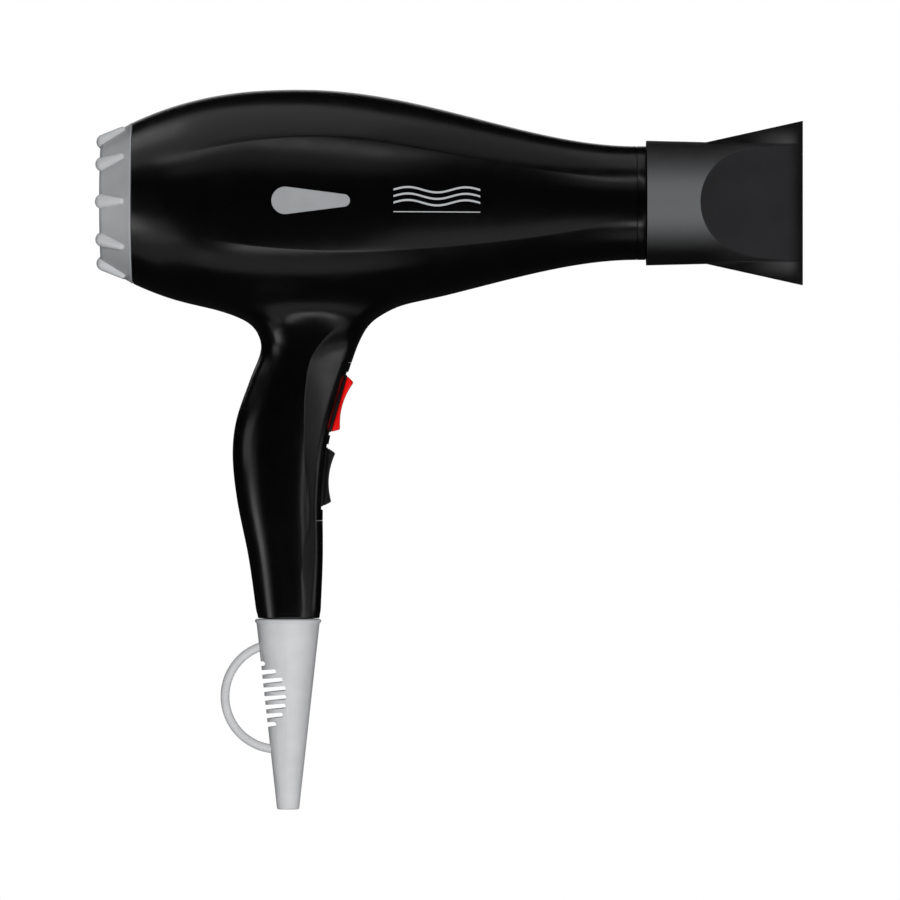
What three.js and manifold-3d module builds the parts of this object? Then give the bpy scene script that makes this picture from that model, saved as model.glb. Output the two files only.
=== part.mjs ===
// A hand-held hair dryer with a slot nozzle, two rocker switches and a rear filter cap.
// Everything is drawn in the barrel's frame: +X along the barrel towards the nozzle, +Z up, the barrel's
// axis at y = z = 0, and x = 0 on the axis of the cord boot. The group is then moved so that the part's
// origin is the middle of the grip. Lengths are in millimetres.
import * as THREE from "three";
import { mergeVertices } from "three/addons/utils/BufferGeometryUtils.js";
import Module from "manifold-3d";

// Clearances
const GAP = 0.3; // between pieces that touch
const FAN_CLEARANCE = 1; // between the blade tips and the duct

// Barrel
const BULGE_X = 5; // where the barrel is fattest
const BULGE_RADIUS = 47.6;
const REAR_LENGTH = 69.9; // from the bulge back to the filter cap
const REAR_RADIUS = 34;
const FRONT_LENGTH = 141.2; // from the bulge forward to the outlet ring
const NECK_RADIUS = 23.9;
const WALL = 2.4;
const PANEL_DEPTH = 1.5; // how far each side is flattened below the round

// Handle
const HANDLE_LENGTH = 126.7; // from the underside of the bulge to the boot
const HANDLE_FLOOR = 4;
const GRIP_DOWN = 60.4; // from the underside of the bulge to the middle of the grip
const GRIP_X = -3.5;

// Rocker switches, set in a panel along the front of the handle
const SWITCH_PANEL_DOWN = 19.2; // from the underside of the bulge
const SWITCH_PANEL_DEPTH = 4;
const SWITCH_PANEL_TOP_MARGIN = 4.9; // above the upper rocker
const SWITCH_PANEL_BOTTOM_MARGIN = 6.1;
const ROCKER_SPACING = 5.8; // between the two rockers
const ROCKER_LENGTH = 25;
const ROCKER_WIDTH = 11;
const ROCKER_RISE = 3.7;
const ROCKER_PIVOT_DEPTH = 7.5;
const ROCKER_PIN_RADIUS = 1.2;
const ROCKER_SWEEP = 1.3; // room at each end of a rocker for its tilt
const SWITCH_BODY_DEPTH = 14;
const SWITCH_BODY_WALL = 1.2;

// Housing screws
const SCREW_RADIUS = 1.5;
const SCREW_HEAD_RADIUS = 3;
const SCREW_HEAD_HEIGHT = 1.8;
const SCREW_REACH = 9; // from the joint between the halves to the seat, and on into the other half
const BOSS_WALL = 2;
const HOUSING_SCREWS = [
  { name: "top", down: 9.5, x: 15 },
  { name: "middle", down: 44.5, x: -11 },
  { name: "bottom", down: 98, x: -1 },
];

// Rear cap
const CAP_LENGTH = 13.3;
const CAP_REAR_RADIUS = 26.6;
const CAP_LIP_LENGTH = 6;
const CAP_OPENING_RADIUS = 22.6;
const FILTER_SEAT_DEPTH = 2.7; // from the cap's rear face to the grille's seat
const FILTER_SEAT_RADIUS = 26;
const GRILLE_THICKNESS = 2;
const FILTER_THICKNESS = 0.6;
const RETAINER_LENGTH = 1.8;
const RIB_COUNT = 10;
const RIB_TIP_RADIUS = 3.2;
const RIB_ROOT_RADIUS = 1.5;

// Fan and motor
const DUCT_REAR_INSET = 13; // from the barrel's rear opening to the duct
const DUCT_LENGTH = 74;
const DUCT_WALL = 1.6;
const BLADE_COUNT = 7;
const HUB_RADIUS = 13;
const FAN_LENGTH = 17;
const MOTOR_RADIUS = 20;
const MOTOR_LENGTH = 40;
const CAN_WALL = 1.2;
const VANE_COUNT = 7;
const VANE_LENGTH = 19;
const SHAFT_RADIUS = 1.6;
const BEARING_RADIUS = 3.6;
const BEARING_LENGTH = 4;
const MAGNET_THICKNESS = 5.2;
const ARMATURE_LENGTH = 24;

// Heater
const HEATER_LENGTH = 78;
const SLEEVE_WALL = 0.8;
const BOARD_THICKNESS = 0.8;
const BOARD_TAB_LENGTH = 5;
const COIL_AIR = 3.8; // from the sleeve's bore in to the middle of the wire
const COIL_WIRE_RADIUS = 0.7;
const COIL_TURNS = 6;
const COIL_LENGTH = 52;

// Outlet and nozzle
const OUTLET_RING_LENGTH = 3.6;
const NECK_STEP = 1.3; // from the neck's surface in to the tube that the nozzle pushes onto
const NECK_TUBE_LENGTH = 16;
const NECK_TUBE_WALL = 2.7;
const OUTLET_GRILLE_THICKNESS = 2;
const SWIVEL_RING_WALL = 1;
const SWIVEL_RING_LENGTH = 13;
const COLLAR_STEP = 2.3; // from the neck's surface out to the nozzle's collar
const COLLAR_LENGTH = 25.1;
const NOZZLE_LENGTH = 65.6;
const NOZZLE_WALL = 1.4;
const SLOT_HALF_HEIGHT = 34.4;
const SLOT_HALF_WIDTH = 6;
const SCOOP_START = 21.4; // from the collar's rear edge to where its sides flatten

// Cord boot
const BOOT_LENGTH = 80;
const BOOT_TOP_RADIUS = 13.5;
const BOOT_END_RADIUS = 4.6;
const CORD_BORE_RADIUS = 3.4;
const BOOT_NECK_RADIUS = 7.7;
const BOOT_FLANGE_RADIUS = 10;
const BOOT_SLOT_COUNT = 9;
const BOOT_SLOT_PITCH = 3.68;
const BOOT_SLOT_WIDTH = 2;
const BOOT_SLOT_MIDDLE = 32.6; // from the top of the boot to the middle slot
const BOOT_SLOT_TILT = THREE.MathUtils.degToRad(5);
const LOOP_RADIUS = 22.1;
const LOOP_WIRE_RADIUS = 1.85;
const LOOP_CENTRE_X = -4.4;

// Cord clamp
const CLAMP_UP = 16; // from the boot's joint up to the clamp
const CLAMP_LENGTH = 18;
const CLAMP_HEIGHT = 7;
const CLAMP_THICKNESS = 3;
const CLAMP_SCREW_SPACING = 12.4;
const CLAMP_SCREW_RADIUS = 1.2;
const CLAMP_POST_RADIUS = 2.6;

// Badges and leads
const BADGE_BIG_RADIUS = 5.7;
const BADGE_SMALL_RADIUS = 2.6;
const BADGE_LENGTH = 24.3; // between the centres of its two round ends
const BADGE_X = -0.5;
const BADGE_POCKET = 1;
const BADGE_PROUD = 0.4;
const LEAD_RADIUS = 1.1;

// Worked out from the sizes above
const REAR_X = BULGE_X - REAR_LENGTH;
const FRONT_X = BULGE_X + FRONT_LENGTH;
const HANDLE_END_Z = -(BULGE_RADIUS + HANDLE_LENGTH);
const NECK_TUBE_RADIUS = NECK_RADIUS - NECK_STEP;
const OUTLET_BORE_RADIUS = NECK_TUBE_RADIUS - NECK_TUBE_WALL;
const COLLAR_RADIUS = NECK_RADIUS + COLLAR_STEP;
const SPEED_ROCKER_DOWN = SWITCH_PANEL_DOWN + SWITCH_PANEL_TOP_MARGIN + ROCKER_LENGTH / 2;
const HEAT_ROCKER_DOWN = SPEED_ROCKER_DOWN + ROCKER_LENGTH + ROCKER_SPACING;
const SWITCH_PANEL_END = HEAT_ROCKER_DOWN + ROCKER_LENGTH / 2 + SWITCH_PANEL_BOTTOM_MARGIN;
const ROUND_SIDES = 24;
const TURNING_SIDES = 32; // of round pieces that turn in one another
const REAR_RINGS = 6; // along the barrel behind its bulge
const FRONT_RINGS = 8;
const SIDE_FACETS = 4; // across each flattened side of the barrel
const CROWN_FACETS = 8; // across its top and its underside
const FACET_ROOM = 0.4; // by which a faceted wall comes inside its radius
const FAR = 200; // longer than any cut

const wasm = await Module();
wasm.setup();

// ---- Solids ----

// A closed geometry as a manifold-3d solid with its faces pointing out.
function solid(geometry) {
  const bare = geometry.clone();
  bare.deleteAttribute("normal");
  bare.deleteAttribute("uv");
  const merged = mergeVertices(bare, 1e-4);
  const vertProperties = new Float32Array(merged.attributes.position.array);
  const make = (triVerts) => new wasm.Manifold(new wasm.Mesh({ numProp: 3, vertProperties, triVerts }));
  const triangles = new Uint32Array(merged.index.array);
  const made = make(triangles);
  return made.volume() < 0 ? make(triangles.reverse()) : made;
}

function joined(solids) {
  return solids.reduce((whole, piece) => whole.add(piece));
}

// A solid moved and turned by a Matrix4.
function placed(piece, matrix) {
  return piece.transform(matrix.elements);
}

function moved(piece, x, y, z) {
  return placed(piece, new THREE.Matrix4().makeTranslation(x, y, z));
}

// The same solid repeated round the barrel's axis.
function around(piece, count, start = 0) {
  const copies = [];
  for (let i = 0; i < count; i++) {
    const turn = new THREE.Matrix4().makeRotationX(start + (2 * Math.PI * i) / count);
    copies.push(placed(piece, turn));
  }
  return joined(copies);
}

// A closed outline of [x, radius] points turned about the X axis.
function turnedAboutX(outline, sides = ROUND_SIDES) {
  const points = outline.map(([x, radius]) => new THREE.Vector2(radius, x));
  const geometry = new THREE.LatheGeometry(closedOutline(points), sides);
  return solid(geometry.rotateZ(-Math.PI / 2));
}

// A closed outline of [z, radius] points turned about the Z axis.
function turnedAboutZ(outline, sides = ROUND_SIDES) {
  const points = outline.map(([z, radius]) => new THREE.Vector2(radius, z));
  return solid(new THREE.LatheGeometry(closedOutline(points), sides).rotateX(Math.PI / 2));
}

// An outline that starts and ends on the axis is closed already.
function closedOutline(points) {
  const onAxis = points[0].x === 0 && points[points.length - 1].x === 0;
  return onAxis ? points : [...points, points[0].clone()];
}

function tubeAboutX(from, to, outer, inner, sides = ROUND_SIDES) {
  return turnedAboutX([[from, inner], [from, outer], [to, outer], [to, inner]], sides);
}

// A round bar along Y.
function pinAlongY(x, z, from, to, radius, sides = 12) {
  const bar = new THREE.CylinderGeometry(radius, radius, to - from, sides);
  return solid(bar.translate(x, (from + to) / 2, z));
}

// A box given by its lowest and highest corners.
function block(low, high) {
  const size = high.map((value, i) => value - low[i]);
  const middle = high.map((value, i) => (value + low[i]) / 2);
  return solid(new THREE.BoxGeometry(...size).translate(...middle));
}

function shapeOf(points) {
  return new THREE.Shape(points.map(([a, b]) => new THREE.Vector2(a, b)));
}

// A flat shape drawn in x and z, drawn out along Y.
function plateAlongY(shape, from, to, curveSegments = 8) {
  const options = { depth: to - from, bevelEnabled: false, curveSegments };
  const geometry = new THREE.ExtrudeGeometry(shape, options).rotateX(Math.PI / 2);
  return solid(geometry.translate(0, to, 0));
}

// A flat shape drawn in x and y, drawn out along Z.
function plateAlongZ(shape, from, to, curveSegments = 8) {
  const options = { depth: to - from, bevelEnabled: false, curveSegments };
  return solid(new THREE.ExtrudeGeometry(shape, options).translate(0, 0, from));
}

// A skin over rings that all have the same number of points, closed by a flat fan at each end.
function loft(rings) {
  const count = rings[0].length;
  const vertices = rings.flat();
  const indices = [];
  for (let r = 0; r + 1 < rings.length; r++) {
    for (let i = 0; i < count; i++) {
      const a = r * count + i;
      const b = r * count + ((i + 1) % count);
      indices.push(a, b, b + count, a, b + count, a + count);
    }
  }
  const fan = (ring, first, flip) => {
    const middle = vertices.length;
    const sum = ring.reduce((total, point) => total.add(point), new THREE.Vector3());
    vertices.push(sum.divideScalar(count));
    for (let i = 0; i < count; i++) {
      const pair = [first + i, first + ((i + 1) % count)];
      indices.push(middle, ...(flip ? pair : pair.reverse()));
    }
  };
  fan(rings[0], 0, false);
  fan(rings[rings.length - 1], (rings.length - 1) * count, true);
  const geometry = new THREE.BufferGeometry().setFromPoints(vertices);
  geometry.setIndex(indices);
  return solid(geometry);
}

// A round wire that follows a curve.
function wireAlong(curve, radius, sides, steps) {
  const section = [];
  for (let i = 0; i < sides; i++) {
    const angle = (2 * Math.PI * i) / sides;
    section.push([radius * Math.cos(angle), radius * Math.sin(angle)]);
  }
  return solid(new THREE.ExtrudeGeometry(shapeOf(section), { extrudePath: curve, steps }));
}

// A smooth function through [position, value] pairs.
function through(pairs) {
  const slopes = pairs.map((pair, i) => {
    const before = pairs[Math.max(i - 1, 0)];
    const after = pairs[Math.min(i + 1, pairs.length - 1)];
    return (after[1] - before[1]) / (after[0] - before[0]);
  });
  return (at) => {
    const last = pairs.length - 2;
    let i = 0;
    while (i < last && at > pairs[i + 1][0]) i++;
    const span = pairs[i + 1][0] - pairs[i][0];
    const t = THREE.MathUtils.clamp((at - pairs[i][0]) / span, 0, 1);
    const ease = t * t * (3 - 2 * t);
    const value = pairs[i][1] * (1 - ease) + pairs[i + 1][1] * ease;
    const lean = t * (1 - t) * (slopes[i] * (1 - t) - slopes[i + 1] * t) * span;
    return value + lean;
  };
}

function spread(from, to, count) {
  return Array.from({ length: count + 1 }, (_, i) => from + ((to - from) * i) / count);
}

// ---- The outer form ----

function barrelRadius(x) {
  if (x < BULGE_X) {
    const share = (BULGE_X - x) / REAR_LENGTH;
    return BULGE_RADIUS - (BULGE_RADIUS - REAR_RADIUS) * share ** 2.4;
  }
  const share = Math.min((x - BULGE_X) / FRONT_LENGTH, 1) ** 1.06;
  return BULGE_RADIUS - (BULGE_RADIUS - NECK_RADIUS) * THREE.MathUtils.smoothstep(share, 0, 1);
}

// The flattened side of the barrel, a long leaf between two creases. Each value is the sine of the angle
// from the horizontal at which the crease lies.
const PANEL_START_X = REAR_X + 17;
const PANEL_END_X = FRONT_X - 4;
const PANEL_FADE_IN = 35;
const PANEL_FADE_OUT = 60;
const PANEL_TOP = [[0, 0.45], [0.24, 0.555], [0.41, 0.565], [0.66, 0.5], [1, 0.4]];
const PANEL_BOTTOM = [[0, 0.32], [0.24, 0.42], [0.55, 0.48], [0.81, 0.495], [1, 0.38]];
const panelTop = through(PANEL_TOP);
const panelBottom = through(PANEL_BOTTOM);

function panelDepth(x) {
  const fadeIn = THREE.MathUtils.smoothstep(x, PANEL_START_X, PANEL_START_X + PANEL_FADE_IN);
  const fadeOut = THREE.MathUtils.smoothstep(x, PANEL_END_X - PANEL_FADE_OUT, PANEL_END_X);
  return PANEL_DEPTH * fadeIn * (1 - fadeOut);
}

// A ring of the barrel, set in or out from its surface.
function barrelRing(x, inset) {
  const radius = barrelRadius(x) - inset;
  const along = (x - PANEL_START_X) / (PANEL_END_X - PANEL_START_X);
  const upper = Math.asin(panelTop(along));
  const lower = -Math.asin(panelBottom(along));
  const dip = panelDepth(x);
  const arcs = [
    [lower, upper, dip, SIDE_FACETS],
    [upper, Math.PI - upper, 0, CROWN_FACETS],
    [Math.PI - upper, Math.PI - lower, dip, SIDE_FACETS],
    [Math.PI - lower, 2 * Math.PI + lower, 0, CROWN_FACETS],
  ];
  return arcs.flatMap(([from, to, depth, facets]) =>
    spread(0, 1, facets).slice(0, facets).map((share) => {
      const angle = from + (to - from) * share;
      const reach = radius - depth * (1 - (2 * share - 1) ** 2);
      return new THREE.Vector3(x, reach * Math.cos(angle), reach * Math.sin(angle));
    }),
  );
}

function barrelSolid(inset, from = REAR_X, to = FRONT_X) {
  const stations = [...spread(from, BULGE_X, REAR_RINGS).slice(0, -1), ...spread(BULGE_X, to, FRONT_RINGS)];
  return loft(stations.map((x) => barrelRing(x, inset)));
}

// The handle's outline. Each pair is [share of the handle's length, x or half width].
const HANDLE_BACK = [
  [-0.06, -30], [0, -19.7], [0.053, -13], [0.106, -11.3], [0.21, -16],
  [0.345, -21.8], [0.46, -23.3], [0.61, -21.4], [0.8, -16.6], [1, -13],
];
const HANDLE_FRONT = [
  [-0.06, 46], [0, 37.4], [0.053, 32.3], [0.106, 29], [0.21, 24.2],
  [0.345, 19.2], [0.46, 16.3], [0.61, 14.7], [0.8, 14.6], [1, 13.6],
];
const HANDLE_HALF_WIDTH = [
  [-0.06, 22], [0, 20.3], [0.106, 18.2], [0.345, 17.4], [0.61, 16.4], [0.8, 14.9], [1, 13.5],
];
const HANDLE_SQUARENESS = 2.3; // 2 is an ellipse
const backAt = through(HANDLE_BACK);
const frontAt = through(HANDLE_FRONT);
const halfWidthAt = through(HANDLE_HALF_WIDTH);

function handleRing(down, inset, count) {
  const share = down / HANDLE_LENGTH;
  const back = backAt(share) + inset;
  const front = frontAt(share) - inset;
  const half = halfWidthAt(share) - inset;
  const bent = (value) => Math.sign(value) * Math.abs(value) ** (2 / HANDLE_SQUARENESS);
  return spread(0, 2 * Math.PI, count).slice(0, count).map((angle) => {
    const x = (back + front) / 2 + ((front - back) / 2) * bent(Math.cos(angle));
    return new THREE.Vector3(x, half * bent(Math.sin(angle)), -(BULGE_RADIUS + down));
  });
}

function handleSolid(inset, from, to, steps, count) {
  return loft(spread(from, to, steps).map((down) => handleRing(down, inset, count)));
}

// The room inside the handle, further in by a margin.
function handleRoom(margin) {
  return handleSolid(WALL + margin, HANDLE_ROOT, HANDLE_LENGTH - HANDLE_FLOOR, 9, 16);
}

const HANDLE_ROOT = -0.055 * HANDLE_LENGTH; // where the handle's flare ends, inside the barrel
const outerForm = barrelSolid(0).add(
  handleSolid(0, HANDLE_ROOT, HANDLE_LENGTH, 15, 20),
);

// ---- Places that several pieces share ----

// The frame of a switch on the handle's front edge: local +X points out and +Z up along the edge.
function switchFrame(down) {
  const step = 1;
  const front = (at) => frontAt(at / HANDLE_LENGTH);
  const lean = Math.atan2(front(down - step) - front(down + step), 2 * step);
  return new THREE.Matrix4()
    .makeTranslation(front(down), 0, -(BULGE_RADIUS + down))
    .multiply(new THREE.Matrix4().makeRotationY(lean));
}

const SWITCHES = [
  { name: "speed", frame: switchFrame(SPEED_ROCKER_DOWN) },
  { name: "heat", frame: switchFrame(HEAT_ROCKER_DOWN) },
];
const WINDOW_HALF_LENGTH = ROCKER_LENGTH / 2 + ROCKER_SWEEP;
const WINDOW_HALF_WIDTH = ROCKER_WIDTH / 2 + GAP;

// The front of the handle, as deep as the switch panel and grown by a margin.
function switchPanelRegion(margin) {
  const from = SWITCH_PANEL_DOWN - margin;
  const to = SWITCH_PANEL_END + margin;
  const inner = spread(from, to, 10).map((down) => [
    frontAt(down / HANDLE_LENGTH) - SWITCH_PANEL_DEPTH - margin,
    -(BULGE_RADIUS + down),
  ]);
  const outer = [[FAR, inner[10][1]], [FAR, inner[0][1]]];
  return plateAlongY(shapeOf([...inner, ...outer]), -FAR, FAR);
}

const screwZ = (screw) => -(BULGE_RADIUS + screw.down);
const CLAMP_Z = HANDLE_END_Z + CLAMP_UP;
const CLAMP_SCREWS = [
  { name: "front", x: CLAMP_SCREW_SPACING / 2 },
  { name: "back", x: -CLAMP_SCREW_SPACING / 2 },
];

const DUCT_REAR_X = REAR_X + DUCT_REAR_INSET;
const DUCT_FRONT_X = DUCT_REAR_X + DUCT_LENGTH;
const DUCT_RADIUS = barrelRadius(DUCT_REAR_X) - WALL - FACET_ROOM - GAP;
const SLEEVE_RADIUS = NECK_RADIUS - WALL - FACET_ROOM - GAP;
const SLEEVE_FRONT_X = FRONT_X - 6;
const SLEEVE_REAR_X = SLEEVE_FRONT_X - HEATER_LENGTH;
const DUCT_RING_X = DUCT_FRONT_X - 6;
const LEAD_PORT_END_X = SLEEVE_REAR_X - 8;

// ---- Housing halves ----

function badgeShape(margin) {
  const big = BADGE_BIG_RADIUS + margin;
  const small = BADGE_SMALL_RADIUS + margin;
  const lean = Math.acos((big - small) / BADGE_LENGTH);
  const shape = new THREE.Shape();
  shape.absarc(0, 0, big, lean, 2 * Math.PI - lean, false);
  shape.absarc(BADGE_LENGTH, 0, small, -lean, lean, false);
  return shape;
}

function badgeColumn(margin) {
  const column = plateAlongY(badgeShape(margin), 0, FAR, 10);
  return moved(column, BADGE_X, 0, 0);
}

function mirroredInY(piece) {
  return placed(piece, new THREE.Matrix4().makeScale(1, -1, 1));
}

// The hollow inside the casing, with the bosses and the ring that hold the insides left standing.
function housingVoid() {
  const barrel = barrelSolid(WALL, REAR_X - 1, FRONT_X + 1);
  const bossRadius = SCREW_RADIUS + GAP + BOSS_WALL;
  const bosses = HOUSING_SCREWS.map((screw) => pinAlongY(screw.x, screwZ(screw), -FAR, FAR, bossRadius));
  const posts = CLAMP_SCREWS.map((screw) => pinAlongY(screw.x, CLAMP_Z, -FAR, 0, CLAMP_POST_RADIUS));
  const ring = tubeAboutX(DUCT_RING_X, DUCT_RING_X + 2, FAR, DUCT_RADIUS + GAP);
  const leadNotch = block([DUCT_RING_X - 1, -8, -FAR], [DUCT_RING_X + 3, 8, 0]);
  return barrel.add(handleRoom(0)).subtract(joined([...bosses, ...posts, ring.subtract(leadNotch)]));
}

function housing() {
  const screwHoles = HOUSING_SCREWS.flatMap((screw) => {
    const z = screwZ(screw);
    return [
      pinAlongY(screw.x, z, -SCREW_REACH - 1, FAR, SCREW_RADIUS + GAP),
      pinAlongY(screw.x, z, SCREW_REACH, FAR, SCREW_HEAD_RADIUS + GAP),
    ];
  });
  const clampHoles = CLAMP_SCREWS.map((screw) =>
    pinAlongY(screw.x, CLAMP_Z, -SCREW_REACH + 1, 1, CLAMP_SCREW_RADIUS + GAP),
  );
  const bootHole = turnedAboutZ([
    [HANDLE_END_Z - 1, 0], [HANDLE_END_Z - 1, BOOT_NECK_RADIUS + GAP],
    [HANDLE_END_Z + HANDLE_FLOOR + 1, BOOT_NECK_RADIUS + GAP], [HANDLE_END_Z + HANDLE_FLOOR + 1, 0],
  ]);
  const skin = barrelSolid(BADGE_POCKET);
  const pocket = badgeColumn(GAP).subtract(skin);
  const cuts = [...screwHoles, ...clampHoles, bootHole, pocket, mirroredInY(pocket)];
  return outerForm
    .subtract(housingVoid())
    .subtract(switchPanelRegion(0))
    .subtract(joined(cuts));
}

const wholeHousing = housing();
const slab = (from, to) => block([-FAR, from, -2 * FAR], [FAR, to, FAR]);
const halfOf = (from, to) => wholeHousing.intersect(slab(from, to));

function badge() {
  const skin = barrelSolid(-BADGE_PROUD);
  const floor = barrelSolid(BADGE_POCKET - GAP);
  return badgeColumn(0).intersect(skin.subtract(floor));
}

// ---- Switch panel and switches ----

function switchPanel() {
  const strip = outerForm
    .subtract(handleRoom(0))
    .subtract(barrelSolid(WALL))
    .intersect(switchPanelRegion(-GAP));
  const window = block(
    [-FAR / 2, -WINDOW_HALF_WIDTH, -WINDOW_HALF_LENGTH],
    [FAR / 2, WINDOW_HALF_WIDTH, WINDOW_HALF_LENGTH],
  );
  return strip.subtract(joined(SWITCHES.map(({ frame }) => placed(window, frame))));
}

// A rocker's side outline: a dished face, ends that follow its swing and a keel round its pivot.
function rockerShape(inset) {
  const half = ROCKER_LENGTH / 2;
  const faceHalf = half - 2.2;
  const dish = 1.9;
  const shape = new THREE.Shape();
  shape.moveTo(0, half - inset);
  shape.lineTo(ROCKER_RISE, faceHalf - inset);
  shape.quadraticCurveTo(ROCKER_RISE - 2 * dish, 0, ROCKER_RISE, -faceHalf + inset);
  shape.lineTo(0, -half + inset);
  return shape;
}

function rocker() {
  const half = ROCKER_LENGTH / 2;
  const shape = rockerShape(0);
  shape.lineTo(-3, -half + 0.4);
  shape.lineTo(-ROCKER_PIVOT_DEPTH - 2.6, -3);
  shape.lineTo(-ROCKER_PIVOT_DEPTH - 2.6, 3);
  shape.lineTo(-3, half - 0.4);
  const body = plateAlongY(shape, -ROCKER_WIDTH / 2, ROCKER_WIDTH / 2, 10);
  const pinHalf = WINDOW_HALF_WIDTH + SWITCH_BODY_WALL - GAP;
  return body.add(pinAlongY(-ROCKER_PIVOT_DEPTH, 0, -pinHalf, pinHalf, ROCKER_PIN_RADIUS));
}

// The module behind the panel that carries the rocker's pins. Its top follows the inside of the panel.
function switchBody(frame) {
  const floor = -WALL - GAP - SWITCH_BODY_DEPTH;
  const cavityFloor = -ROCKER_PIVOT_DEPTH - 5.2;
  const half = [WINDOW_HALF_WIDTH + SWITCH_BODY_WALL, WINDOW_HALF_LENGTH + SWITCH_BODY_WALL];
  const shell = block([floor, -half[0], -half[1]], [0, ...half]);
  const cavity = block(
    [cavityFloor, -WINDOW_HALF_WIDTH, -WINDOW_HALF_LENGTH],
    [1, WINDOW_HALF_WIDTH, WINDOW_HALF_LENGTH],
  );
  const eyes = pinAlongY(-ROCKER_PIVOT_DEPTH, 0, -FAR, FAR, ROCKER_PIN_RADIUS + GAP);
  const room = placed(handleRoom(GAP), frame.clone().invert());
  return shell.subtract(cavity).subtract(eyes).intersect(room);
}

// ---- Rear cap ----

const CAP_REAR_X = REAR_X - GAP - CAP_LENGTH;
const GRILLE_X = CAP_REAR_X + FILTER_SEAT_DEPTH + GAP;
const FILTER_X = GRILLE_X + GRILLE_THICKNESS + GAP;
const RETAINER_X = FILTER_X + FILTER_THICKNESS + GAP;
const DISC_RADIUS = FILTER_SEAT_RADIUS - GAP;

// One rib: a tapered finger with round ends, lying on the cap's cone.
function capRib() {
  const tip = new THREE.Vector2(CAP_REAR_X + 1.5, CAP_REAR_RADIUS + 0.2);
  const root = new THREE.Vector2(REAR_X - 4.4, REAR_RADIUS - 2.1);
  const length = tip.distanceTo(root);
  const profile = [];
  for (const angle of spread(-Math.PI / 2, 0, 2)) {
    const along = RIB_TIP_RADIUS * Math.sin(angle);
    profile.push([along, Math.max(RIB_TIP_RADIUS * Math.cos(angle), 0)]);
  }
  for (const angle of spread(0, Math.PI / 2, 2)) {
    const along = length + RIB_ROOT_RADIUS * Math.sin(angle);
    profile.push([along, Math.max(RIB_ROOT_RADIUS * Math.cos(angle), 0)]);
  }
  profile[0][1] = 0;
  profile[profile.length - 1][1] = 0;
  const lean = Math.atan2(root.y - tip.y, root.x - tip.x);
  const place = new THREE.Matrix4()
    .makeTranslation(tip.x, 0, tip.y)
    .multiply(new THREE.Matrix4().makeRotationY(-lean));
  return placed(turnedAboutX(profile, 6), place);
}

function rearCap() {
  const lipRadius = REAR_RADIUS - WALL - FACET_ROOM - GAP;
  const lipFront = REAR_X + CAP_LIP_LENGTH;
  const seat = CAP_REAR_X + FILTER_SEAT_DEPTH;
  const seatEnd = RETAINER_X + RETAINER_LENGTH;
  const cone = turnedAboutX([
    [CAP_REAR_X, CAP_OPENING_RADIUS], [CAP_REAR_X, CAP_REAR_RADIUS - 0.8],
    [CAP_REAR_X + 0.9, CAP_REAR_RADIUS + 0.4], [REAR_X - GAP, REAR_RADIUS - 0.1],
    [REAR_X - GAP, lipRadius], [lipFront, lipRadius], [lipFront, lipRadius - 1.8],
    [seatEnd + 1, lipRadius - 1.8], [seatEnd, FILTER_SEAT_RADIUS], [seat, FILTER_SEAT_RADIUS],
    [seat, CAP_OPENING_RADIUS],
  ]);
  const opening = tubeAboutX(CAP_REAR_X - 10, lipFront + 1, CAP_OPENING_RADIUS, 0);
  const seatRoom = tubeAboutX(seat, lipFront + 1, FILTER_SEAT_RADIUS, 0);
  const ribs = around(capRib(), RIB_COUNT, Math.PI / RIB_COUNT);
  return cone.add(ribs.subtract(opening.add(seatRoom)));
}

// A round grille of rings and spokes, drawn with its rear face at x = 0.
function roundGrille(rings, spokes, spokeWidth, thickness, hubRadius) {
  const circles = rings.map(([inner, outer]) => tubeAboutX(0, thickness, outer, inner));
  const hub = turnedAboutX([[0, 0], [0, hubRadius], [thickness, hubRadius], [thickness, 0]], 16);
  const reach = (rings[0][0] + rings[0][1]) / 2;
  const spoke = block([0, -spokeWidth / 2, hubRadius / 2], [thickness, spokeWidth / 2, reach]);
  return joined([...circles, hub, around(spoke, spokes)]);
}

function inletGrille() {
  const rings = [[DISC_RADIUS - 3, DISC_RADIUS], [13.6, 15]];
  return moved(roundGrille(rings, 5, 1.4, GRILLE_THICKNESS, 5.5), GRILLE_X, 0, 0);
}

function filterMesh() {
  const pitch = 11;
  const wireHalf = 0.4;
  const end = FILTER_X + FILTER_THICKNESS;
  const rim = tubeAboutX(FILTER_X, end, DISC_RADIUS, DISC_RADIUS - 1.6);
  const bars = [];
  for (let i = -1; i <= 1; i++) {
    const at = i * pitch;
    const reach = Math.sqrt((DISC_RADIUS - 0.8) ** 2 - at ** 2);
    bars.push(block([FILTER_X, at - wireHalf, -reach], [end, at + wireHalf, reach]));
    bars.push(block([FILTER_X, -reach, at - wireHalf], [end, reach, at + wireHalf]));
  }
  return joined([rim, ...bars]);
}

function filterRetainer() {
  return tubeAboutX(RETAINER_X, RETAINER_X + RETAINER_LENGTH, DISC_RADIUS, DISC_RADIUS - 2.2);
}

// ---- Fan and motor ----

const DUCT_BORE = DUCT_RADIUS - DUCT_WALL;
const FAN_REAR_X = DUCT_REAR_X + 2;
const MOTOR_REAR_X = FAN_REAR_X + FAN_LENGTH + 4.4;
const MOTOR_FRONT_X = MOTOR_REAR_X + MOTOR_LENGTH;
const CUP_RADIUS = MOTOR_RADIUS + GAP + DUCT_WALL;
const MOTOR_BOSS_RADIUS = BEARING_RADIUS + GAP + 1.6;

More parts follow.
